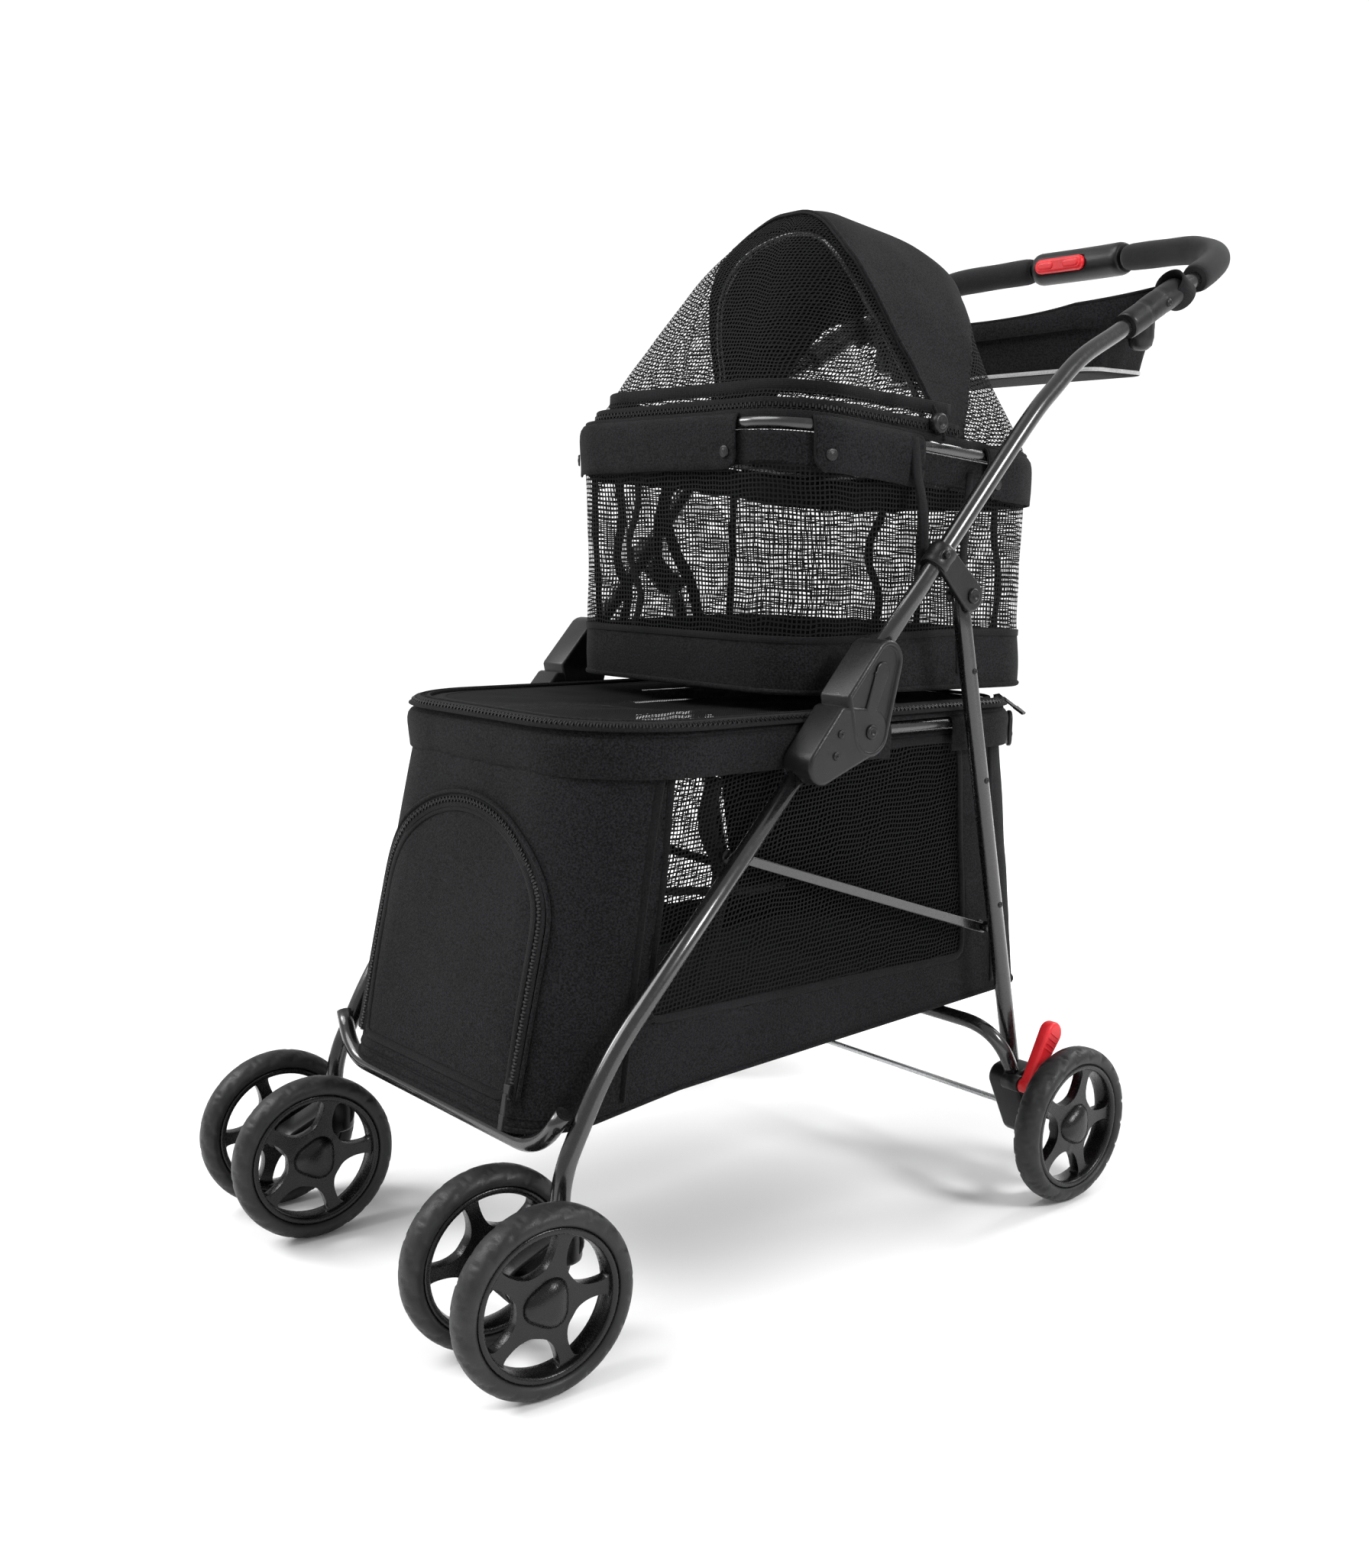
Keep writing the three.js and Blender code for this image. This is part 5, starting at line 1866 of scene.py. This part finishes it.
def canopy_top():
    us = split_at_back(stops([70, 24, 40, 24, 70, 26, 40, 26]))
    ts = list(np.linspace(0, 1, 90))
    verts, faces = open_shell(CANOPY, us, ts, canopy_push)
    m = len(us)
    last = len(ts) - 1
    crown = np.mean([verts[last * m + j] for j in range(m)], axis=0)
    crown[2] += 0.4
    verts.append(crown)
    faces += [(last * m + j, last * m + j + 1, len(verts) - 1) for j in range(m - 1)]
    ahead = [v[1] - seam_y(FRONT_SEAM, v[2]) for v in verts]
    behind = [v[1] - seam_y(REAR_SEAM, v[2]) for v in verts]
    shade = [min(a, -b) for a, b in zip(ahead, behind)]
    v, f, _ = clip(verts, faces, shade)
    cloth("canopy_shade", v, f, "fan", CLOTH, ("canopy",), 1.4)
    v, f, _ = clip(verts, faces, [-a + 3 for a in ahead])
    cloth("canopy_front_net", v, f, "fan", NET, (), 0.0)
    v, f, _ = clip(verts, faces, [b + 3 for b in behind])
    cloth("canopy_rear_net", v, f, "fan", NET, (), 0.0)
    _, _, front = clip(verts, faces, [-a for a in ahead])
    _, _, rear = clip(verts, faces, [b for b in behind])
    outward = lambda q: unit(np.array([q[0], (q[1] - 50) * 0.6, max(q[2] - 740, 0) * 0.9 + 4]))
    for name, loops in (("front", front), ("rear", rear)):
        line = max(loops, key=len)[:, :3]
        trim(f"canopy_{name}_binding", line, "fan", 8, 2.0, 0.4, outward=outward)
        tube(
            f"canopy_{name}_piping", even(np.array([q + outward(q) * 1.4 for q in line]), 6), 2.0, "fan",
            CLOTH, sides=10
        )
    bow = [
        (148, 52, 733), (132, 51, 768), (120, 46, 790), (107, 30, 826), (90, 18, 862), (68, 16, 888),
        (42, 20, 905), (0, 26, 914)
    ]
    tube(
        "canopy_bow_rod", catmull(mirrored([np.array(p, float) for p in bow]), 5), 3, "fan", BLACK,
        ("canopy_bow",), sides=12
    )

    front_us = [u for u in us if 4.35 < u < 8.65]
    outward2 = flat_out(45)
    for i, level in enumerate((0.10, 0.178)):
        line = []
        for u in front_us:
            p = on_wall_u(CANOPY, u, level, canopy_push)
            line.append(p)
        line = np.array(line)
        if i == 0:
            zipper("canopy_zip", line, "carrier", outward2, 0.8, 13)
        else:
            trim("canopy_zip_fold", line, "fan", 12, 2.4, 0.6, outward=outward2)
    hem = [on_wall_u(CANOPY, u, 0.0, canopy_push) for u in us]
    trim("canopy_hem", hem, "carrier", 9, 1.6, 0.3, outward=outward2)
    for hand, side in SIDES:
        lathe(
            f"{hand}_canopy_hinge",
            [(0, -5), (8, -5), (9, -3.8), (9, 2.6), (7.6, 4), (4.6, 4.4), (4.2, 3.4), (0, 3.2)],
            (side * 166.5, *PIVOT["canopy_fold"][1:]), (side, 0, 0), "canopy", PLASTIC, segments=32
        )


# ---------------------------------------------------------------- parent tray


def parent_tray():
    lowest, highest = span("parent_tray")
    base = lowest[2]
    low = dict(w=140, f=lowest[1] + 10, b=highest[1] - 10, rf=20, rb=20, zf=base, zb=base)
    top = dict(w=150, f=lowest[1], b=highest[1], rf=24, rb=24, zf=base + 51, zb=base + 51)

    def push(p, n, t, u):
        return -0.8 + 1.4 * ripple(p, 50, 8.8) * math.sin(math.pi * t)

    us = split_at_back(stops([16, 10, 40, 10, 16, 10, 40, 10]))
    verts, faces = open_shell([low, top], us, list(np.linspace(0, 1, 14)), push)
    cloth("tray_walls", verts, faces, "handle_frame", CLOTH, ("parent_tray",), 1.8)
    lid(
        inset(low, 0.5), "handle_frame", "tray_bottom", CLOTH, lambda k, q: 1.6 * (1 - k * k), 6, (), 0.8,
        1.6
    )
    around = us[:-1]
    out = [on_outline(top, u)[1] for u in around]
    strap("tray_binding", ring(top, around, -0.5, -1.0), 8, 3.4, out, "handle_frame", closed=True)
    out = [on_outline(low, u)[1] for u in around]
    strap("tray_light_piping", ring(low, around, 0.4, 1.4), 4.0, 1.4, out, "handle_frame", LIGHT, closed=True)
    # The sling: a band from socket to socket that dips in the middle and carries the tray's front edge.
    rows = []
    xs = np.linspace(-203, 203, 70)
    for h in np.linspace(0, 1, 7):
        row = []
        for x in xs:
            s = abs(x) / 203
            top_z = 853 + 24 * s**2.4
            low_z = 838 - 3 * (1 - s) + 16 * max(s - 0.75, 0) / 0.25
            y = 300 + 52 * max(s - 0.62, 0) / 0.38 - 3 * (1 - s * s) * math.sin(math.pi * h)
            row.append(
                (
                    x, y - 0.6 + 0.8 * ripple((x, h * 20, 0), 40, 3.3), low_z + (top_z - low_z) * h, x,
                    h * 22
                )
            )
        rows.append(row)
    verts = [np.array(v) for row in rows for v in row]
    faces = grid(len(rows), len(xs))
    cloth("tray_sling", verts, faces, "handle_frame", CLOTH, (), 2.0, 0.0)
    edge = np.array(rows[-1])[:, :3]
    tube("tray_sling_edge", edge, 1.9, "handle_frame", TAPE, sides=10)
    for hand, side in SIDES:
        path = sided(
            side, [(146, 345, 836), (160, 345, 841), (174, 344, 846), (188, 343.5, 856), (200, 343, 866)]
        )
        line = catmull(path, 6)
        strap(
            f"{hand}_tray_strap", line, 30, 2.6, [np.array([-side * 0.4, 0, 1.0])] * len(line),
            "handle_frame"
        )
        loop = [
            np.array([side * (213 + 14.6 * math.cos(a)) - side * 0.6, 341, 869 + 14.6 * math.sin(a)])
            for a in np.linspace(0, 2 * math.pi, 33)[:-1]
        ]
        tilt = Matrix.Rotation(math.radians(-26), 3, "X")
        centre = np.array([side * 213, 341, 869.0])
        loop = [centre + np.array(tilt @ Vector(q - centre)) for q in loop]
        normals = [unit(q - centre) for q in loop]
        strap(f"{hand}_tray_cuff", loop, 26, 1.8, normals, "handle_frame", closed=True)
        pouch = [(0, -26), (9, -25), (15.5, -20), (18, -10), (18, 6), (16, 14), (11, 18.5), (0, 20)]
        lathe(
            f"{hand}_tray_buckle", [(r * 0.72, h * 0.8) for r, h in pouch], (side * 171, 348, 836),
            (0, 0, 1), "handle_frame", PLASTIC, segments=32
        )


# ---------------------------------------------------------------- cushions


CHANNEL_X = 52  # the mats' long channels, from the middle
CHANNEL_PITCH = 96  # and their cross channels
CHANNEL_DEPTH = 3.2
CHANNEL_WIDTH = 6
SIM_FRAMES = 20
SIM_PRESSURE = 4.0


def cushion(name, low, high, body, node, cap_mm):
    """A quilted mat: a pad swelled by cloth simulation, with its sewn channels pressed in afterwards."""
    us = WALL_U[::2]
    m = len(us)
    verts = []
    levels = [(low, 7, 1.2), (low, 1.5, 3.0), (mix(low, high, 0.5), 0, 0), (high, 2.0, -4.5), (high, 8, -2.6)]
    for o, less, up in levels:
        for u in us:
            p, n = on_outline(o, u)
            verts.append(p - n * less + up_z(up))
    faces = grid(len(levels), m, True)
    faces.append(tuple(reversed(range(m))))
    faces.append(tuple((len(levels) - 1) * m + j for j in range(m)))
    obj = make(name, verts, faces, body, PAD, (node,))
    modify(obj, "REMESH", mode="VOXEL", voxel_size=6 * MM)
    bake(obj)
    start = [v.co.copy() for v in obj.data.vertices]
    sim = modify(obj, "CLOTH")
    sim.settings.use_pressure = True
    sim.settings.uniform_pressure_force = SIM_PRESSURE
    sim.settings.effector_weights.gravity = 0.0
    sim.settings.quality = 5
    sim.collision_settings.use_collision = False
    for frame_number in range(1, SIM_FRAMES + 1):
        bpy.context.scene.frame_set(frame_number)
    graph = bpy.context.evaluated_depsgraph_get()
    done = [v.co.copy() for v in obj.evaluated_get(graph).data.vertices]
    obj.modifiers.remove(sim)
    bpy.context.scene.frame_set(1)
    for v, a, b in zip(obj.data.vertices, start, done):
        move = b - a
        if move.length > cap_mm * MM:
            move *= cap_mm * MM / move.length
        v.co = a + move
    cy = (high["f"] + high["b"]) / 2
    for v in obj.data.vertices:
        x, y, z = v.co.x / MM, v.co.y / MM, v.co.z / MM
        top = rim_z(high, y)
        if z > top - 12:
            gap = min(abs(abs(x) - CHANNEL_X), abs(abs(y - cy) % CHANNEL_PITCH - CHANNEL_PITCH / 2))
            v.co.z -= CHANNEL_DEPTH * math.exp(-((gap / CHANNEL_WIDTH) ** 2)) * MM
    for face in obj.data.polygons:
        face.use_smooth = True
    modify(obj, "SUBSURF", levels=1, render_levels=1)
    tube(f"{name}_piping", ring(mix(low, high, 0.5), us, 0.5), 2.2, body, CLOTH, closed=True, sides=8)
    return obj


def bake(obj):
    bpy.context.view_layer.update()
    graph = bpy.context.evaluated_depsgraph_get()
    mesh = bpy.data.meshes.new_from_object(obj.evaluated_get(graph))
    obj.modifiers.clear()
    obj.data = mesh


def cushions():
    least, most = span("lower_basket_floor")
    low = dict(w=most[0], f=least[1], b=most[1], rf=54, rb=36, zf=least[2], zb=least[2] + BASE_RISE)
    high = dict(w=most[0], f=least[1] + 6, b=most[1] - 4, rf=54, rb=36, zf=most[2] - BASE_RISE, zb=most[2])
    cushion("basket_cushion", inset(low, 3, 1), inset(high, 3, -3), "lower_frame", "lower_basket_floor", 6)
    least, most = span("carrier_floor")
    low = dict(w=most[0], f=least[1], b=most[1], rf=46, rb=46, zf=least[2] + BASE_FALL, zb=least[2])
    high = dict(w=most[0], f=least[1], b=most[1], rf=46, rb=46, zf=most[2], zb=most[2] - BASE_FALL)
    cushion("carrier_cushion", inset(low, 3, 1), inset(high, 3, -4), "carrier", "carrier_floor", 6)


# ---------------------------------------------------------------- build

stage()
rear_wheels()
casters()
front_frame()
fold_joints()
handle()
brackets()
rear_frame()
lower_basket()
lower_rim()
carrier_body()
carrier_flaps()
canopy_top()
parent_tray()
cushions()
